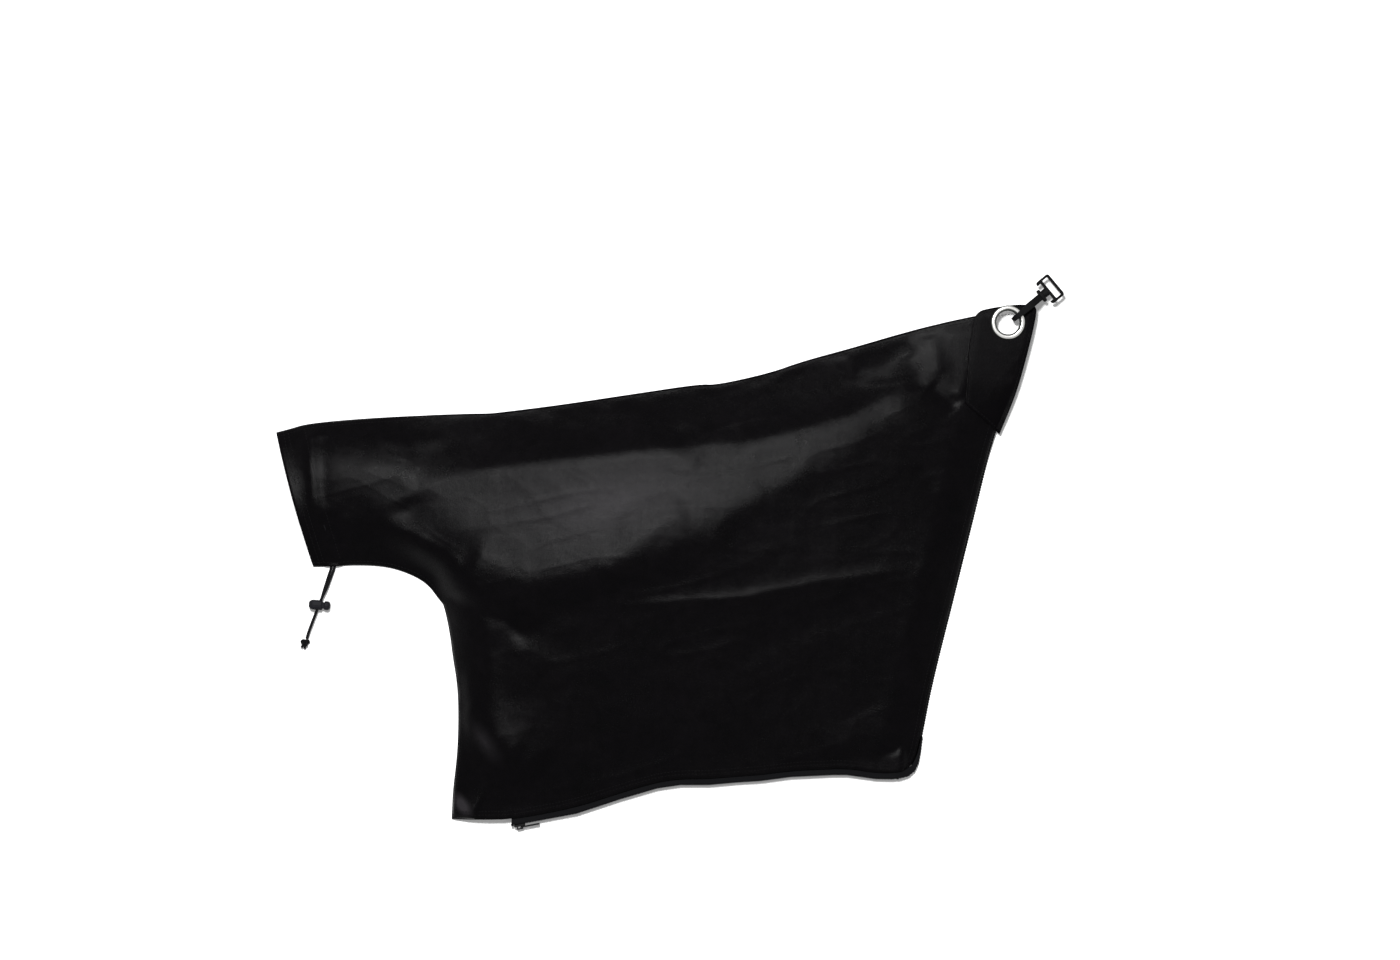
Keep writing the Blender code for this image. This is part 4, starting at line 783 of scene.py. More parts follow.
    def wrinkles(self, points: np.ndarray, free: np.ndarray) -> np.ndarray:
        """Small creases that run mostly with the bulge, and puckers along the sewn edges."""
        crease = sum(hills.ridges(points) for hills in self.creases)
        swell = sum(hills.over(points) for hills in self.swells)
        seam = self.seam_way(points, self.sewn)
        pucker = np.exp(-seam / self.pucker_reach) * smooth(seam / self.pucker_start)
        pucker = pucker * self.puckers.over(points)
        return free * (self.crease_share * crease + self.swell_share * swell) + pucker

    def crown(self, ways: np.ndarray, reach: float) -> np.ndarray:
        """A round rise over its way from an edge, from 0 at the edge to 1 at its reach."""
        return np.sin(0.5 * math.pi * np.clip(ways / reach, 0.0, 1.0)) ** self.roll_power

    def front(self, points: np.ndarray) -> np.ndarray:
        """Height of the front cloth's lower face."""
        plan = self.plan
        edge = self.seam_way(points, self.sewn + ("sleeve_bottom", "bottom"))
        lip, _, _ = nearest(points, plan.lip())
        tab = smooth((plan.eyelet_way(points) - self.tab_flat) / self.tab_swell)
        free = smooth(edge / self.free_fade) * tab * smooth((lip - self.lip_band[0]) / self.lip_band[1])
        roll = self.crown(self.seam_way(points, self.rolled), self.side_roll)
        formed = smooth((points[:, 0] - self.sleeve_form_end) / self.sleeve_form_fade)
        ways = [np.maximum(nearest(points, run)[0], 0.01) ** -3.0 for run in plan.seams()]
        crown = self.crown(np.sum(ways, axis=0) ** (-1.0 / 3.0), self.sleeve_roll)
        sleeve = self.sleeve_height * crown * (1.0 - formed)
        mouth = 1.0 - (1.0 - self.mouth_share) * smooth(1.0 - lip / self.mouth_fade)
        height = (sleeve + self.filled(points) * roll * formed) * mouth * tab
        for fold in self.folds:
            held = free if fold.fade >= self.free_fade else smooth(edge / fold.fade) * tab
            height = height + held * fold.over(points)
        height = height + self.wrinkles(points, free)
        x = points[:, 0]
        opened = smooth(1.0 + (x - self.open_left[0]) / self.open_left[1])
        opened = opened * smooth(1.0 - (x - self.open_right[0]) / self.open_right[1])
        near, _, _ = nearest(points, plan.bottom)
        rise = self.zip_rise * opened * smooth(1.0 - (near - self.zip_level) / self.zip_depth)
        inner, fade = self.cord_exit_reach
        exit_way = np.linalg.norm(points - np.array(self.cord_exit), axis=1) - inner
        rise = np.maximum(rise, self.cord_exit_rise * smooth(1.0 - exit_way / fade))
        return self.back(points) + self.cloth + self.gap + np.maximum(np.maximum(height, rise), 0.0)


def finish_mesh(mesh: bpy.types.Mesh, material: Material, smooth_angle: float) -> None:
    """Give a mesh its one finish, and smooth shading up to an angle in degrees."""
    mesh.materials.clear()
    mesh.materials.append(material)
    mesh.shade_smooth()
    mesh.set_sharp_from_angle(angle=math.radians(smooth_angle))


def linked(name: str, data: bpy.types.ID) -> Item:
    """A new object of the scene for its data."""
    item = bpy.data.objects.new(name, data)
    bpy.context.scene.collection.objects.link(item)
    return item


def mesh_piece(name: str, points: np.ndarray, faces: list, material: Material,
               smooth_angle: float = 50.0) -> Item:
    """A named mesh object with its faces turned outward.

    Args:
        name: The piece's name.
        points: Its points in metres.
        faces: Its faces as lists of point numbers.
        material: Its finish.
        smooth_angle: Edges sharper than this stay sharp, in degrees.

    Returns:
        The object, linked to the scene.
    """
    mesh = bpy.data.meshes.new(name)
    mesh.from_pydata([tuple(point) for point in points], [], faces)
    work = bmesh.new()
    work.from_mesh(mesh)
    bmesh.ops.recalc_face_normals(work, faces=work.faces)
    work.to_mesh(mesh)
    work.free()
    finish_mesh(mesh, material, smooth_angle)
    return linked(name, mesh)


def mount_piece(item: Item, slot: Slot, *nodes: str) -> Item:
    """Let a piece ride on the bag and stand for the nodes that it replaces, which are hidden."""
    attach(item, BAG)
    if nodes:
        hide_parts(*nodes)
    return item


def coons(top: np.ndarray, bottom: np.ndarray, left: np.ndarray, right: np.ndarray) -> np.ndarray:
    """Grid of plan points between four runs; rows go from top to bottom."""
    s = np.linspace(0.0, 1.0, len(top))[None, :, None]
    t = np.linspace(0.0, 1.0, len(left))[:, None, None]
    across = top[None] * (1 - t) + bottom[None] * t
    down = left[:, None] * (1 - s) + right[:, None] * s
    corners = (top[0] * (1 - s) + top[-1] * s) * (1 - t) + (bottom[0] * (1 - s) + bottom[-1] * s) * t
    return across + down - corners


def join_grids(grids: list[np.ndarray]) -> tuple[np.ndarray, list]:
    """One set of plan points and faces from grids that share their borders.

    Args:
        grids: Grids of plan points in millimetres.

    Returns:
        The points and the faces.
    """
    index: dict[Span, int] = {}
    points: list[Span] = []
    faces = []
    for grid in grids:
        rows, columns = grid.shape[:2]
        numbers = np.empty((rows, columns), int)
        for j in range(rows):
            for i in range(columns):
                key = (round(float(grid[j, i, 0]), 4), round(float(grid[j, i, 1]), 4))
                if key not in index:
                    index[key] = len(points)
                    points.append(key)
                numbers[j, i] = index[key]
        for j in range(rows - 1):
            for i in range(columns - 1):
                faces.append([numbers[j, i], numbers[j + 1, i], numbers[j + 1, i + 1], numbers[j, i + 1]])
    return np.array(points), faces


def tube_faces(count: int, around: int) -> list[list[int]]:
    """Faces of a tube with closed ends, from its number of rings and of points in each."""
    faces = [list(range(around)), list(range((count - 1) * around, count * around))[::-1]]
    for ring in range(count - 1):
        for step in range(around):
            here, there = ring * around + step, ring * around + (step + 1) % around
            faces.append([here, there, there + around, here + around])
    return faces


def round_rings(radii: np.ndarray, around: int) -> np.ndarray:
    """Rings for a swept tube.

    Args:
        radii: A row for each ring, with one radius or one for each of its points.
        around: Number of points in a ring.

    Returns:
        For each ring a row of (side, up) offsets.
    """
    angles = turns(around)
    return np.stack([radii * np.cos(angles), radii * np.sin(angles)], axis=2)


def swept(path: np.ndarray, rings: np.ndarray) -> tuple[np.ndarray, list]:
    """Points and faces of a tube along a path.

    Args:
        path: Points of the centreline in metres.
        rings: For each path point a row of (side, up) offsets in metres.

    Returns:
        The points, and faces with closed ends.
    """
    tangent = unit(np.gradient(path, axis=0))
    side = np.cross(tangent, np.array([0.0, 0.0, 1.0]))
    side /= np.maximum(np.linalg.norm(side, axis=1), 1e-9)[:, None]
    up = np.cross(side, tangent)
    points = path[:, None] + rings[:, :, :1] * side[:, None] + rings[:, :, 1:] * up[:, None]
    return points.reshape(-1, 3), tube_faces(*rings.shape[:2])


@dataclass
class BagCloth:
    """Both panels, the corner patches, the cord casings and the seams."""

    plan: Plan
    lie: Lie
    finishes: Finishes
    sleeve_cells: int = 58
    body_cells: int = 176
    upper_cells: int = 104
    lower_cells: int = 74
    hole: float = 14.2
    hole_margin: float = 1.5
    thickness: float = 0.0007
    stitch_length: float = 2.3
    stitch_pitch: float = 3.3
    stitch_half: float = 0.28
    thread_rise: float = 0.12
    patch_thread_rise: float = 0.1
    stitch_rings: tuple = ((0.0, 0.45, -0.25), (0.22, 1.0, 0.0), (0.78, 1.0, 0.0), (1.0, 0.45, -0.25))
    back_share: float = 0.55
    flat_size: Span = (0.756, 0.512)
    flat_area: float = 0.262
    patch_cells: int = 44
    patch_gap: float = 0.55
    patch_gap_rear: float = 0.65
    patch_size: Span = (0.072, 0.130)
    patch_area: float = 0.0062
    hem_drop: float = 0.5
    hem_reach: float = 4.0
    hem_hole: Span = (18.0, 4.0)
    casing_size: Span = (0.020, 0.086)
    casing_rounds: int = 2
    casing_hills: Hills = Hills((10.0 / 3.0, 10.0 / 3.0), 20.0, 7, 0.12)
    edge_lift: float = 0.85
    edge_cells: int = 760
    edge_size: Span = (0.00105, 0.00088)
    edge_rib: float = 0.28
    edge_pitch: float = 4.4

    def grids(self, share: float = 1.0) -> list[np.ndarray]:
        """The sleeve, the upper body and the lower body as grids, with cells enlarged by 1/share."""
        plan = self.plan
        columns, sleeve = int(self.body_cells * share), int(self.sleeve_cells * share)
        upper, lower = int(self.upper_cells * share), int(self.lower_cells * share)
        middle = resample([plan.body_top[0], plan.fold[0]], upper)
        fold = resample(plan.fold, columns)
        return [
            coons(rounded(plan.sleeve_top, sleeve), rounded(plan.sleeve_bottom, sleeve),
                  resample(plan.lip(), upper), middle),
            coons(rounded(plan.body_top, columns), fold, middle, rounded(plan.right_upper, upper)),
            coons(fold, rounded(plan.bottom, columns), rounded(plan.left_lower, lower),
                  rounded(plan.right_lower, lower)),
        ]

    def sheet_piece(self, name: str, plan_points: np.ndarray, faces: list, heights: np.ndarray,
                    material: Material) -> Item:
        """A cloth of real thickness over plan points, open at the eyelet."""
        way = self.plan.eyelet_way(plan_points)
        kept = [face for face in faces
                if way[face].min() > self.hole - self.hole_margin and way[face].mean() > self.hole]
        used = sorted({corner for face in kept for corner in face})
        number = {corner: index for index, corner in enumerate(used)}
        kept = [[number[corner] for corner in face] for face in kept]
        points = self.plan.lifted(plan_points[used], heights[used] + 0.5 * self.lie.cloth)
        item = mesh_piece(name, points, kept, material, 60.0)
        solid = item.modifiers.new("thickness", "SOLIDIFY")
        solid.thickness = self.thickness
        solid.offset = 0.0
        return item

    def panels(self) -> None:
        """The front and back panels."""
        points, faces = join_grids(self.grids())
        front = self.sheet_piece("front_cloth", points, faces, self.lie.front(points), self.finishes.cloth)
        mount_piece(front, Slot.CLOTH, "front_panel")
        points, faces = join_grids(self.grids(self.back_share))
        back = self.sheet_piece("back_cloth", points, faces, self.lie.back(points), self.finishes.cloth)
        mount_piece(back, Slot.CLOTH, "back_panel")

    def patches(self) -> None:
        """The doubled corner, front and back."""
        plan, lie, count = self.plan, self.lie, self.patch_cells
        grid = coons(rounded(plan.patch_top, count), resample(plan.patch_bottom, count),
                     resample(plan.patch_left, count), rounded(plan.patch_right, count))
        points, faces = join_grids([grid])
        edge = lie.seam_way(points, ("patch_top", "patch_left", "patch_bottom", "patch_right"))
        level, fade = self.hem_hole
        hem = -self.hem_drop * np.exp(-(edge / self.hem_reach) ** 2)
        hem = hem * smooth((plan.eyelet_way(points) - level) / fade)
        for name, node, heights, rest in (
                ("corner_patch", "corner_patch_front", lie.front(points) + lie.cloth + self.patch_gap + hem,
                 "front_panel"),
                ("corner_patch_rear", "corner_patch_back",
                 lie.back(points) - self.patch_gap_rear - lie.cloth - 0.5 * hem, "back_panel")):
            item = self.sheet_piece(name, points, faces, heights, self.finishes.patch)
            mount_piece(item, Slot.PATCH, node)

    def casing(self, node: str) -> None:
        """A cloth tunnel of the drawcord: a finer, slightly uneven copy of its solid."""
        work = bmesh.new()
        work.from_mesh(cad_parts[node].data)
        bmesh.ops.remove_doubles(work, verts=work.verts, dist=1e-6)
        for _ in range(self.casing_rounds):
            bmesh.ops.subdivide_edges(work, edges=work.edges, cuts=1, use_grid_fill=True)
        bmesh.ops.recalc_face_normals(work, faces=work.faces)
        places = np.array([vertex.co[:] for vertex in work.verts])
        for vertex, hill in zip(work.verts, self.casing_hills.over(places[:, :2] / MM) * MM):
            vertex.co.z += float(hill)
        mesh = bpy.data.meshes.new(f"{node}_cloth")
        work.to_mesh(mesh)
        work.free()
        finish_mesh(mesh, self.finishes.cloth, 50.0)
        item = linked(f"{node}_cloth", mesh)
        mount_piece(item, Slot.CASING, node)

    def stitches(self, name: str, run: Run, inset: float, rise: float) -> None:
        """A row of stitches beside an edge, on the front cloth.

        Args:
            name: The row's name.
            run: The edge, in millimetres, with the cloth on its right.
            inset: Way from the edge in millimetres; negative for cloth on the left.
            rise: How far above the cloth's lower face the thread lies, in millimetres.
        """
        path = resample(run, max(int(way_along(run)[-1] / self.stitch_pitch), 2))
        along = unit(np.diff(path, axis=0))
        across = rightward(along)
        middle = 0.5 * (path[1:] + path[:-1]) + inset * across
        ends = [middle + sign * 0.5 * self.stitch_length * along for sign in (-1, 1)]
        starts, stops = [np.column_stack([end, self.lie.front(end) + rise]) for end in ends]
        ring = [(math.cos(angle), math.sin(angle)) for angle in turns(6)]
        faces_of_one = tube_faces(len(self.stitch_rings), len(ring))
        points, faces = [], []
        for a, b, way in zip(starts, stops, across):
            faces += [[len(points) + corner for corner in face] for face in faces_of_one]
            for share, size, dip in self.stitch_rings:
                half, spot = self.stitch_half * size, a + (b - a) * share
                points += [spot + np.array([*(way * c * half), s * half + dip]) for c, s in ring]
        points = np.array(points)
        points = self.plan.lifted(points[:, :2], points[:, 2])
        mount_piece(mesh_piece(name, points, faces, self.finishes.thread), Slot.CLOTH)

    def seams(self) -> None:
        """Stitch rows round the panels, the patch and the mouth's hem, and the overlocked right edge."""
        plan = self.plan
        top = rounded_run(plan.sleeve_top + plan.body_top[1:])
        right = rounded_run(plan.right_upper + plan.right_lower[1:])
        bottom = rounded_run(plan.bottom)
        lip = [tuple(point) for point in resample(plan.lip(), 12)]
        border = rounded_run(plan.patch_left[::-1] + plan.patch_top[1:] + plan.patch_right[1:])
        front = self.lie.cloth + self.thread_rise
        patch = self.lie.cloth + self.patch_gap + self.lie.cloth + self.patch_thread_rise
        for name, run, inset, rise in (
                ("top_seam_stitches", top, 4.2, front),
                ("right_seam_stitches", right, 3.6, front),
                ("right_seam_second_row", right, 7.4, front),
                ("left_seam_stitches", rounded_run(plan.left_lower), -3.8, front),
                ("sleeve_seam_stitches", rounded_run(plan.sleeve_bottom), -3.8, front),
                ("zip_seam_stitches", bottom, -4.6, front),
                ("zip_seam_second_row", bottom, -8.0, front),
                ("mouth_hem_stitches", lip, -7.0, front),
                ("casing_seam_near_mouth", lip, -11.6, front),
                ("casing_seam_far", lip, -28.6, front),
                ("patch_stitches", border, 3.0, patch),
                ("patch_lower_stitches", plan.patch_bottom, -3.0, patch)):
            self.stitches(name, run, inset, rise)
        self.binding(right)

    def binding(self, run: Run) -> None:
        """The overlocked edge on the right side: a thin roll of thread with a rib at each stitch."""
        edge = resample(run, self.edge_cells)
        path = self.plan.lifted(edge, self.lie.back(edge) + self.edge_lift)
        way = np.linspace(0.0, 1.0, len(path)) * len(path)
        swell = 1.0 + self.edge_rib * np.sin(way * 2 * math.pi / self.edge_pitch)
        points, faces = swept(path, round_rings(swell[:, None], 8) * self.edge_size)
        mount_piece(mesh_piece("right_edge_overlock", points, faces, self.finishes.thread), Slot.CLOTH)

    def make(self) -> None:
        """Build all the cloth."""
        self.panels()
        self.patches()
        for node in ("cord_casing_front", "cord_casing_back"):
            self.casing(node)
        self.seams()


def dress_node(node: str, material: Material, smooth_angle: float = 32.0) -> None:
    """Give a carried-over CAD node its finish."""
    finish_mesh(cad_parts[node].data, material, smooth_angle)


@dataclass
class EyeletSet:
    """The flanged eyelet and its washer, turned finely."""

    plan: Plan
    finishes: Finishes
    floor: float = 0.0125
    steps: int = 128
    # Faces nearer the middle than the inner radius, or farther than the outer one, take the painted shade
    # finish.
    painted_shade_inside: float = 13.3
    painted_shade_outside: float = 16.3
    wobbles: tuple = ((5, 0.05, 0.7), (9, 0.03, 0.0))
    under: float = 4.7
    top: float = 6.7

    def turned(self, name: str, profile: Run, node: str) -> Item:
        """A ring turned about the eyelet's axis from a closed profile of (radius, height) in millimetres."""
        centre = self.plan.to_row(np.array(self.plan.eyelet))
        count = len(profile)
        points, faces = [], []
        for angle in turns(self.steps):
            wobble = sum(size * math.sin(waves * angle + phase) for waves, size, phase in self.wobbles)
            for radius, height in profile:
                out = (radius + wobble) * MM
                points.append((centre[0] + out * math.cos(angle), centre[1] + out * math.sin(angle),
                               self.floor + height * MM))
        for step in range(self.steps):
            here, there = step * count, (step + 1) % self.steps * count
            faces += [[here + i, there + i, there + (i + 1) % count, here + (i + 1) % count]
                      for i in range(count)]
        item = mesh_piece(name, np.array(points), faces, self.finishes.nickel, 55.0)
        # Painted shade: a dark line round the bore's edge and on the outer rim.
        item.data.materials.append(self.finishes.painted_rim_shade)
        middle = Vector((*centre, 0.0))
        for polygon in item.data.polygons:
            way = (polygon.center - middle).to_2d().length / MM
            polygon.material_index = int(way < self.painted_shade_inside or way > self.painted_shade_outside)
        return mount_piece(item, Slot.NICKEL, node)

    def make(self) -> None:
        """Build the eyelet and the washer."""
        under, top = self.under, self.top
        crown = [(14.4 + 2.6 * math.cos(a), under + 0.35 + 1.65 * max(math.sin(a), 0.0) ** 0.8)
                 for a in np.linspace(0.0, math.pi * 0.5, 9)]
        lip = [(13.4, top - 0.05), (12.8, top - 0.4), (12.3, top - 0.95), (12.0, top - 1.6),
               (11.85, top - 2.4)]
        bore = [(11.8, top - 3.2), (11.8, 0.0), (11.85, -1.6)]
        roll = [(13.2 + 1.35 * math.cos(a), -1.9 + 0.5 * math.sin(a))
                for a in np.linspace(math.pi, 2 * math.pi, 9)]
        back = [(14.5, -1.7), (14.0, -1.42), (12.45, -1.42), (12.45, under), (16.8, under),
                (17.0, under + 0.2)]
        self.turned("eyelet_ring", crown + lip + bore + roll + back, "eyelet")
        washer = [(12.75, -1.1), (13.0, -1.1), (16.2, -1.1), (16.5, -0.95), (16.5, -0.5), (16.2, -0.32),
                  (13.0, -0.32), (12.75, -0.45)]
        self.turned("eyelet_back_washer", washer, "eyelet_washer")


@dataclass
class Drawcord:
    """The drawcord: two free tails, the loop in the casings, and the knot."""

    plan: Plan
    finishes: Finishes
    diameter: float = 0.0028
    spring_axis: tuple = (0.996195, -0.087156, 0.0)
    spring_foot: tuple = (-0.358566, -0.051872, 0.006)
    spring_keep: float = 0.38
    knot_middle: tuple = (-364.75, -92.55, 4.5)
    knot_radius: float = 3.05
    knot_stretch: float = 1.2
    knot_cord: float = 0.00135
    cut_ends: tuple = ((-128.0, 0.4), (-96.0, -0.6))
    cut_length: float = 0.0062
    cut_cord: float = 0.00115
    tail_spacing: float = 0.4
    loop_spacing: float = 0.9
    strand_pitch: float = 4.2
    thinnest: float = 0.93
    strand_rise: float = 0.09
    curve_cells: int = 12
    exit_index: int = 3
    path_skip: int = 6
    knot_sides: int = 12
    far_tail: tuple = ((-340.4, -8.0, 2.8), (-338.6, -15.8, 2.7), (-341.9, -27.0, 3.2),
                       (-345.6, -39.0, 4.0), (-348.2, -48.0, 4.45), (-350.8, -54.8, 4.45),
                       (-355.6, -67.4, 4.45), (-359.7, -78.2, 4.45), (-361.4, -83.0, 4.0),
                       (-363.1, -88.5, 3.0))
    near_tail: tuple = ((-335.5, -7.6, 4.1), (-335.3, -15.8, 2.9), (-338.9, -27.0, 4.4),
                        (-343.2, -38.5, 6.4), (-347.2, -46.6, 7.5), (-350.8, -54.8, 7.55),
                        (-355.6, -67.4, 7.55), (-359.7, -78.2, 7.55), (-361.4, -83.0, 7.1),
                        (-363.1, -88.5, 6.2))
    held: tuple = ((-340.4, -8.0, 2.8), (-343.8, -0.4, 2.9), (-348.6, 17.0, 2.9), (-353.9, 36.2, 2.9),
                   (-359.2, 55.5, 2.9), (-364.6, 74.8, 2.9), (-369.4, 92.1, 2.9), (-373.2, 99.4, 2.9),
                   (-375.6, 104.9, 2.9), (-374.9, 109.9, 3.2), (-371.8, 112.2, 3.9), (-367.6, 111.9, 5.0),
                   (-364.4, 108.0, 6.9), (-363.8, 102.0, 9.8), (-363.6, 93.7, 13.1), (-358.8, 76.4, 17.7),
                   (-353.4, 57.1, 20.0), (-348.1, 37.8, 18.7), (-342.8, 18.6, 14.3), (-338.0, 1.2, 8.0),
                   (-335.5, -7.6, 4.1))

    def curve(self, route: tuple, spacing: float) -> np.ndarray:
        """Evenly spaced points in metres on a smooth curve through a route."""
        points = np.array(route, float)
        ends = np.vstack([2 * points[0] - points[1], points, 2 * points[-1] - points[-2]])
        dense = []
        for a, b, c, d in zip(ends, ends[1:], ends[2:], ends[3:]):
            for t in np.linspace(0.0, 1.0, self.curve_cells, endpoint=False):
                dense.append(0.5 * (2 * b + (c - a) * t + (2 * a - 5 * b + 4 * c - d) * t ** 2
                                    + (3 * b - a - 3 * c + d) * t ** 3))
        dense.append(points[-1])
        dense = np.array(dense)
        even = resample(dense, int(way_along(dense)[-1] / spacing))
        return self.plan.lifted(even[:, :2], even[:, 2])

    def braided(self, name: str, path: np.ndarray, spacing: float, around: int = 16) -> Item:
        """A braided cord along a path, with its strands in relief."""
        angles = turns(around)[None]
        turn = 2 * math.pi * np.arange(len(path))[:, None] * spacing / self.strand_pitch
        strands = np.abs(np.sin(2 * angles + turn)) * np.abs(np.sin(2 * angles - turn))
        radii = (0.5 * self.diameter) * (self.thinnest + self.strand_rise * strands)
        points, faces = swept(path, round_rings(radii, around))
        item = mesh_piece(name, points, faces, self.finishes.cord, 80.0)
        return mount_piece(item, Slot.BRAID, "drawcord")

    def knot(self) -> Item:
        """The overhand knot of both ends, with the two short cut ends."""
        angles = turns(self.knot_sides)[None]
        turn = np.linspace(0.0, 2 * math.pi, 97)
        loop = np.column_stack([np.sin(turn) + 2 * np.sin(2 * turn), np.cos(turn) - 2 * np.cos(2 * turn),
                                -np.sin(3 * turn) * 1.3]) * (self.knot_radius / 3.0)
        loop[:, 0] *= self.knot_stretch
        loop[-1] = loop[0]
        centre = self.plan.lifted(np.array([self.knot_middle[:2]]), np.array([self.knot_middle[2]]))[0]
        ribs = 1.0 + 0.06 * np.sin(np.arange(len(loop))[:, None] * 1.9 + 2 * angles)
        tubes = [(loop * MM + centre, ribs * self.knot_cord)]
        flare = np.linspace(1.0, 1.12, 10)[:, None] * (1.0 + 0.05 * np.sin(5 * angles))
        for heading, rise in self.cut_ends:
            angle = math.radians(heading)
            reach = np.array([math.cos(angle), math.sin(angle), -0.12]) * self.cut_length
            start = centre + np.array([0.0, 0.0, rise * MM])
            tubes.append((start + np.linspace(0.25, 1.0, 10)[:, None] * reach, flare * self.cut_cord))
        points, faces = [], []
        for path, radii in tubes:
            tube, sides = swept(path, round_rings(radii, self.knot_sides))
            faces += [[corner + len(points) for corner in face] for face in sides]
            points += list(tube)
        item = mesh_piece("drawcord_end_knot", np.array(points), faces, self.finishes.cord, 80.0)
        return mount_piece(item, Slot.BRAID, "drawcord_knot")

    def make(self) -> None:
        """Build the cord, its knot and its tails, and dress the cord lock."""
        knot = self.knot()
        for node in ("cord_lock_body", "cord_lock_plunger"):
            dress_node(node, self.finishes.lock)
        dress_node("cord_lock_spring", self.finishes.steel)
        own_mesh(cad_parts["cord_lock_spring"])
        lock = [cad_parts[node] for node in ("cord_lock_body", "cord_lock_plunger", "cord_lock_spring")]
        for name, route, pieces in (("drawcord_far_tail", self.far_tail, [knot, *lock]),
                                    ("drawcord_near_tail", self.near_tail, [])):
            path = self.curve(route, self.tail_spacing)
            item = self.braided(name, path, self.tail_spacing)
        self.braided("drawcord_held_loop", self.curve(self.held, self.loop_spacing), self.loop_spacing, 12)


@dataclass
class Zip:
    """The zip along the bottom edge: woven tapes, nylon coils, stops, slider and pull."""

    plan: Plan
    finishes: Finishes
    reach: float = 6.2
    middle: float = 6.0
    start_x: float = -152.2
    end_x: float = 226.2
    pitch: float = 1.5
    wire: float = 0.34
    turn_cells: int = 12
    wire_sides: int = 5
    half_width: float = 0.74
    half_height: float = 0.88
    row_offset: float = 1.4
    tape_start: float = -158.2
    tape_thickness: float = 0.9
    sewn_in: float = 4.0
    rib: float = 0.32
    rib_pitch: float = 3.1
    chain_step: float = 0.2
    tape_skip: int = 8
    tape_step: float = 0.8
    tape_gap: float = 0.1
    tape_section: tuple = ((0.0, 0.5), (0.35, 0.5), (0.8, 0.5), (0.95, 0.45), (1.0, 0.0), (0.95, -0.45),
                           (0.8, -0.5), (0.0, -0.5))
    corner_outer: tuple = ((230, -228.0), (238, -226.2), (244.8, -221.2), (248.8, -213.4), (250.9, -203),
                           (253.0, -187))
    corner_inner: tuple = ((230, -219.0), (236, -218.8), (241.5, -215.8), (244.4, -211.4), (248.0, -203),
                           (252.0, -187))

    def chain(self) -> np.ndarray:
        """The chain's middle in plan, at even stations beside the bag's bottom edge."""
        edge = np.array(self.plan.bottom, float)
        along = unit(np.vstack([edge[1] - edge[0], edge[2:] - edge[:-2], edge[-1] - edge[-2]]))
        points = edge + rightward(along) * self.reach
        xs = np.arange(self.start_x, self.end_x, self.chain_step)
        return np.column_stack([xs, np.interp(xs, points[:, 0], points[:, 1])])

    def coil(self, name: str, sign: int, node: str) -> None:
        """One coil row, wound from round nylon wire."""
        path = self.chain()
        way = way_along(path)
        at = np.linspace(0.0, way[-1], int(way[-1] / self.pitch * self.turn_cells))
        line = np.column_stack([np.interp(at, way, path[:, axis]) for axis in (0, 1)])
        along = unit(np.gradient(line, axis=0))
        turn = 2 * math.pi * at / self.pitch
        out = (self.half_width * np.cos(turn))[:, None]
        up = self.middle + sign * (self.row_offset + self.half_height * np.sin(turn))
        centre = self.plan.lifted(line + rightward(along) * out, up)
        tube, faces = swept(centre, round_rings(np.full((len(at), 1), self.wire * MM), self.wire_sides))
        mount_piece(mesh_piece(name, tube, faces, self.finishes.coil, 80.0), Slot.COIL, node)

    def tape(self, name: str, node: str, heights: tuple) -> None:
        """One woven tape, from the sewn edge out to its ribbed outer edge and round the bag's corner.

        Args:
            name: The tape's name.
            node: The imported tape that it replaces.
            heights: Its height along the chain, then at each corner point, in millimetres.
        """
        chain = self.chain()[::self.tape_skip]
        edge = np.array(self.plan.bottom, float)
        sewn = np.column_stack([chain[:, 0], np.interp(chain[:, 0], edge[:, 0], edge[:, 1]) + self.sewn_in])
        chain = chain - [0.0, self.tape_gap]
        outer = np.vstack([[self.tape_start, chain[0, 1]], chain, self.corner_outer])
        inner = np.vstack([[self.tape_start, sewn[0, 1]], sewn, self.corner_inner])
        height = np.concatenate([np.full(len(chain) + 1, heights[0]), heights[1:]])
        way = way_along(outer)
        at = np.linspace(0.0, way[-1], int(way[-1] / self.tape_step))
        outer, inner = [np.column_stack([np.interp(at, way, run[:, axis]) for axis in (0, 1)])
                        for run in (outer, inner)]
        height = np.interp(at, way, height)
        rib = self.rib * np.sin(at * 2 * math.pi / self.rib_pitch)
        outer = outer + unit(outer - inner) * rib[:, None]
        rows = [self.plan.lifted(inner + (outer - inner) * share, height + lift * self.tape_thickness)
                for share, lift in self.tape_section]
        points = np.stack(rows, axis=1).reshape(-1, 3)
        item = mesh_piece(name, points, tube_faces(len(at), len(rows)), self.finishes.tape, 60.0)
        mount_piece(item, Slot.TAPE, node)

    def make(self) -> None:
        """Build the coils and tapes and dress the rest."""
        self.coil("coil_row_front", 1, "zip_coil_front")
        self.coil("coil_row_back", -1, "zip_coil_back")
        self.tape("zip_tape_upper", "zip_tape_front", (9.9, 9.2, 7.4, 5.2, 3.4, 2.4, 1.8))
        self.tape("zip_tape_lower", "zip_tape_back", (2.1, 2.0, 1.9, 1.7, 1.5, 1.3, 1.1))
        for node in ("zip_top_stop_front", "zip_top_stop_back", "zip_bottom_stop", "zip_slider", "zip_pull"):
            dress_node(node, self.finishes.zinc)


@dataclass
class SwivelClip:
    """The hanging clip: hook and strap loop."""

    finishes: Finishes

    def make(self) -> None:
        """Dress both mouldings."""
        for node in ("snap_hook", "strap_loop"):
            dress_node(node, self.finishes.clip)


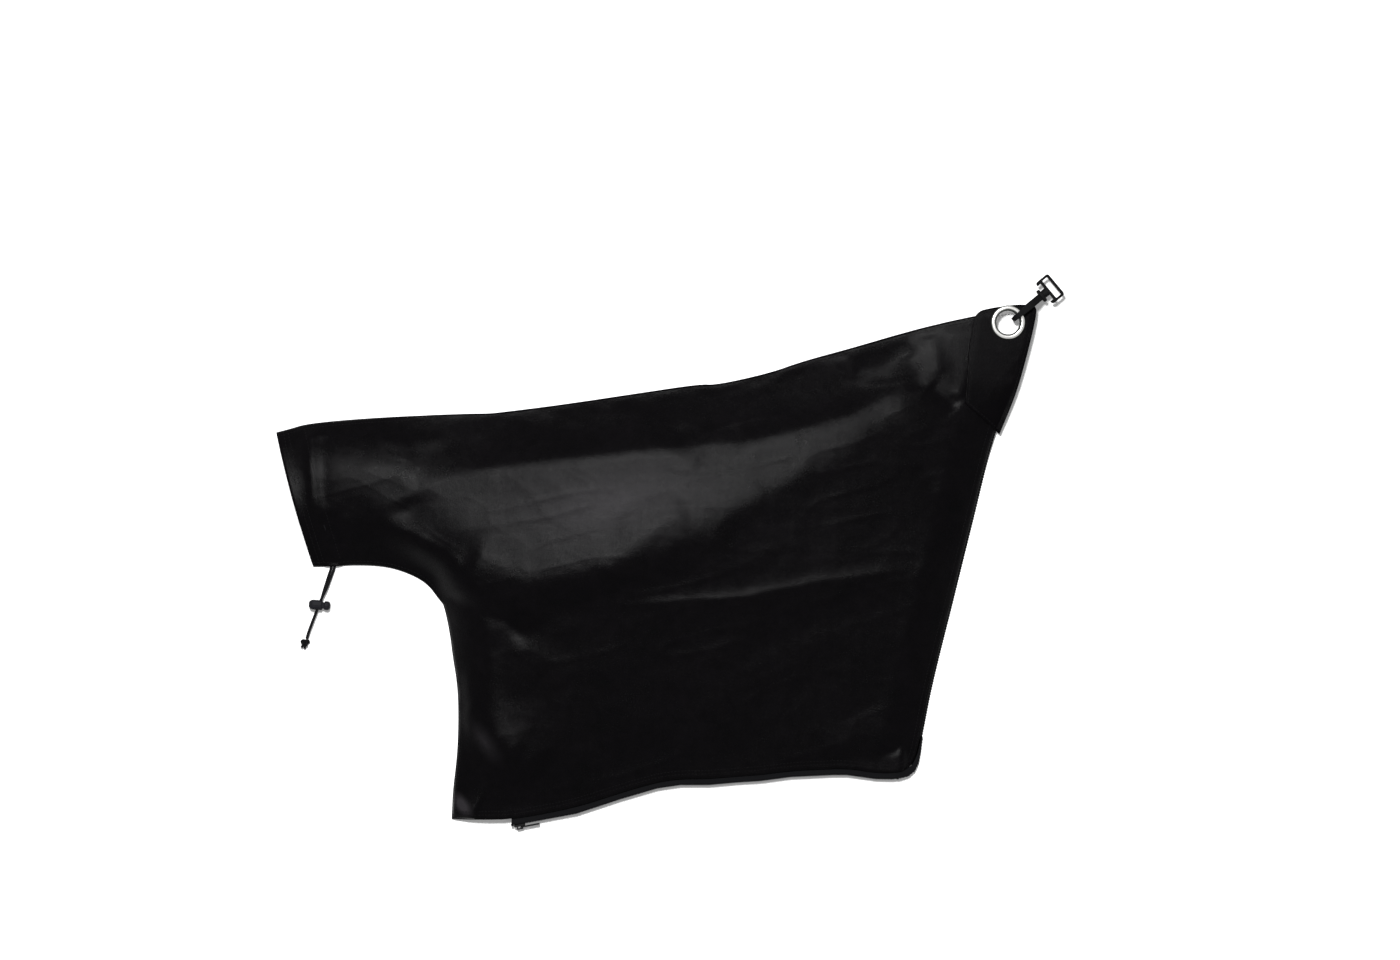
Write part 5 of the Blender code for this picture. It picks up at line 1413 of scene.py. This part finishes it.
@dataclass
class Studio:
    """Floor, soft light and camera."""

    plan: Plan
    centre: Span = (30.0, 70.0)
    frame_width: float = 1.4
    distance: float = 3.6
    level: float = 0.004
    key_place: tuple = (-0.28, 0.92, 2.7)
    key_size: tuple = (0.4, 0.5)
    key_power: float = 118.0
    fill_level: float = 0.22
    look_at: tuple = (0.0, 0.02, 0.0)
    paper_half: float = 6.0
    paper_level: float = -0.0002
    paper_dark: tuple = (0.93, 0.93, 0.93)
    paper_light: tuple = (0.95, 0.95, 0.95)
    paper_glow: float = 0.18

    def camera(self) -> None:
        """Camera straight above, framed as the photograph is."""
        data = bpy.data.cameras.new("camera")
        data.sensor_width = 36.0
        data.lens = data.sensor_width * self.distance / self.frame_width
        data.clip_end = 50.0
        item = linked("camera", data)
        item.location = (*self.plan.to_row(self.centre), self.level + self.distance)
        bpy.context.scene.camera = item

    def floor(self) -> None:
        """Plain white paper under the bag."""
        graph = Graph("studio_paper")
        rays = graph.add("ShaderNodeLightPath").outputs["Is Camera Ray"]
        graph.feed(Base_Color=graph.blend(graph.noise(Noise(40.0)), self.paper_dark, self.paper_light),
                   Emission_Strength=graph.maths("MULTIPLY", rays, self.paper_glow))
        graph.sockets(Roughness=0.9, Specular_IOR_Level=0.1, Emission_Color=(1.0, 1.0, 1.0, 1.0))
        points = np.array([(x * self.paper_half, y * self.paper_half, self.paper_level)
                           for x, y in ((-1, -1), (1, -1), (1, 1), (-1, 1))])
        item = mesh_piece("studio_floor", points, [[0, 1, 2, 3]], graph.material)

    def lamp(self, name: str, place: tuple, size: tuple, power: float) -> None:
        """One soft box that looks at the bag."""
        data = bpy.data.lights.new(name, "AREA")
        data.shape = "RECTANGLE"
        data.size, data.size_y = size
        data.energy = power
        item = linked(name, data)
        item.location = place
        item.rotation_euler = (Vector(self.look_at) - Vector(place)).to_track_quat("-Z", "Y").to_euler()

    def world(self) -> None:
        """Soft light from all round, seen as white by the camera, metal and glass."""
        world = bpy.data.worlds.new("studio")
        bpy.context.scene.world = world
        world.use_nodes = True
        tree = world.node_tree
        shade = tree.nodes["Background"]
        shade.inputs["Color"].default_value = (1.0, 1.0, 1.0, 1.0)
        rays = tree.nodes.new("ShaderNodeLightPath").outputs
        seen = rays["Is Camera Ray"]
        for kind in ("Is Glossy Ray", "Is Transmission Ray"):
            either = tree.nodes.new("ShaderNodeMath")
            either.operation = "MAXIMUM"
            tree.links.new(seen, either.inputs[0])
            tree.links.new(rays[kind], either.inputs[1])
            seen = either.outputs[0]
        spread = tree.nodes.new("ShaderNodeMapRange")
        spread.inputs["To Min"].default_value = self.fill_level
        spread.inputs["To Max"].default_value = 1.0
        tree.links.new(seen, spread.inputs["Value"])
        tree.links.new(spread.outputs["Result"], shade.inputs["Strength"])

    def make(self) -> None:
        """Set the studio up."""
        self.camera()
        self.floor()
        self.lamp("key_soft_box", self.key_place, self.key_size, self.key_power)
        self.world()
        bpy.context.scene.view_settings.view_transform = "Standard"


def corners(box: tuple) -> list[list[float]]:
    """A box's two corners as plain lists."""
    return [[float(value) for value in corner] for corner in box]


def main() -> None:
    """Build and dress the bag, piece by piece."""
    logging.basicConfig(level=logging.INFO, format="%(name)s: %(message)s")
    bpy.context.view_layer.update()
    plan = Plan()
    finishes = Finishes()
    Studio(plan).make()
    Drawcord(plan, finishes).make()
    LOG.info("drawcord made")
    BagCloth(plan, Lie(plan), finishes).make()
    LOG.info("cloth made")
    EyeletSet(plan, finishes).make()
    SwivelClip(finishes).make()
    Zip(plan, finishes).make()
    LOG.info("fittings made")


if __name__ == "__main__":
    main()
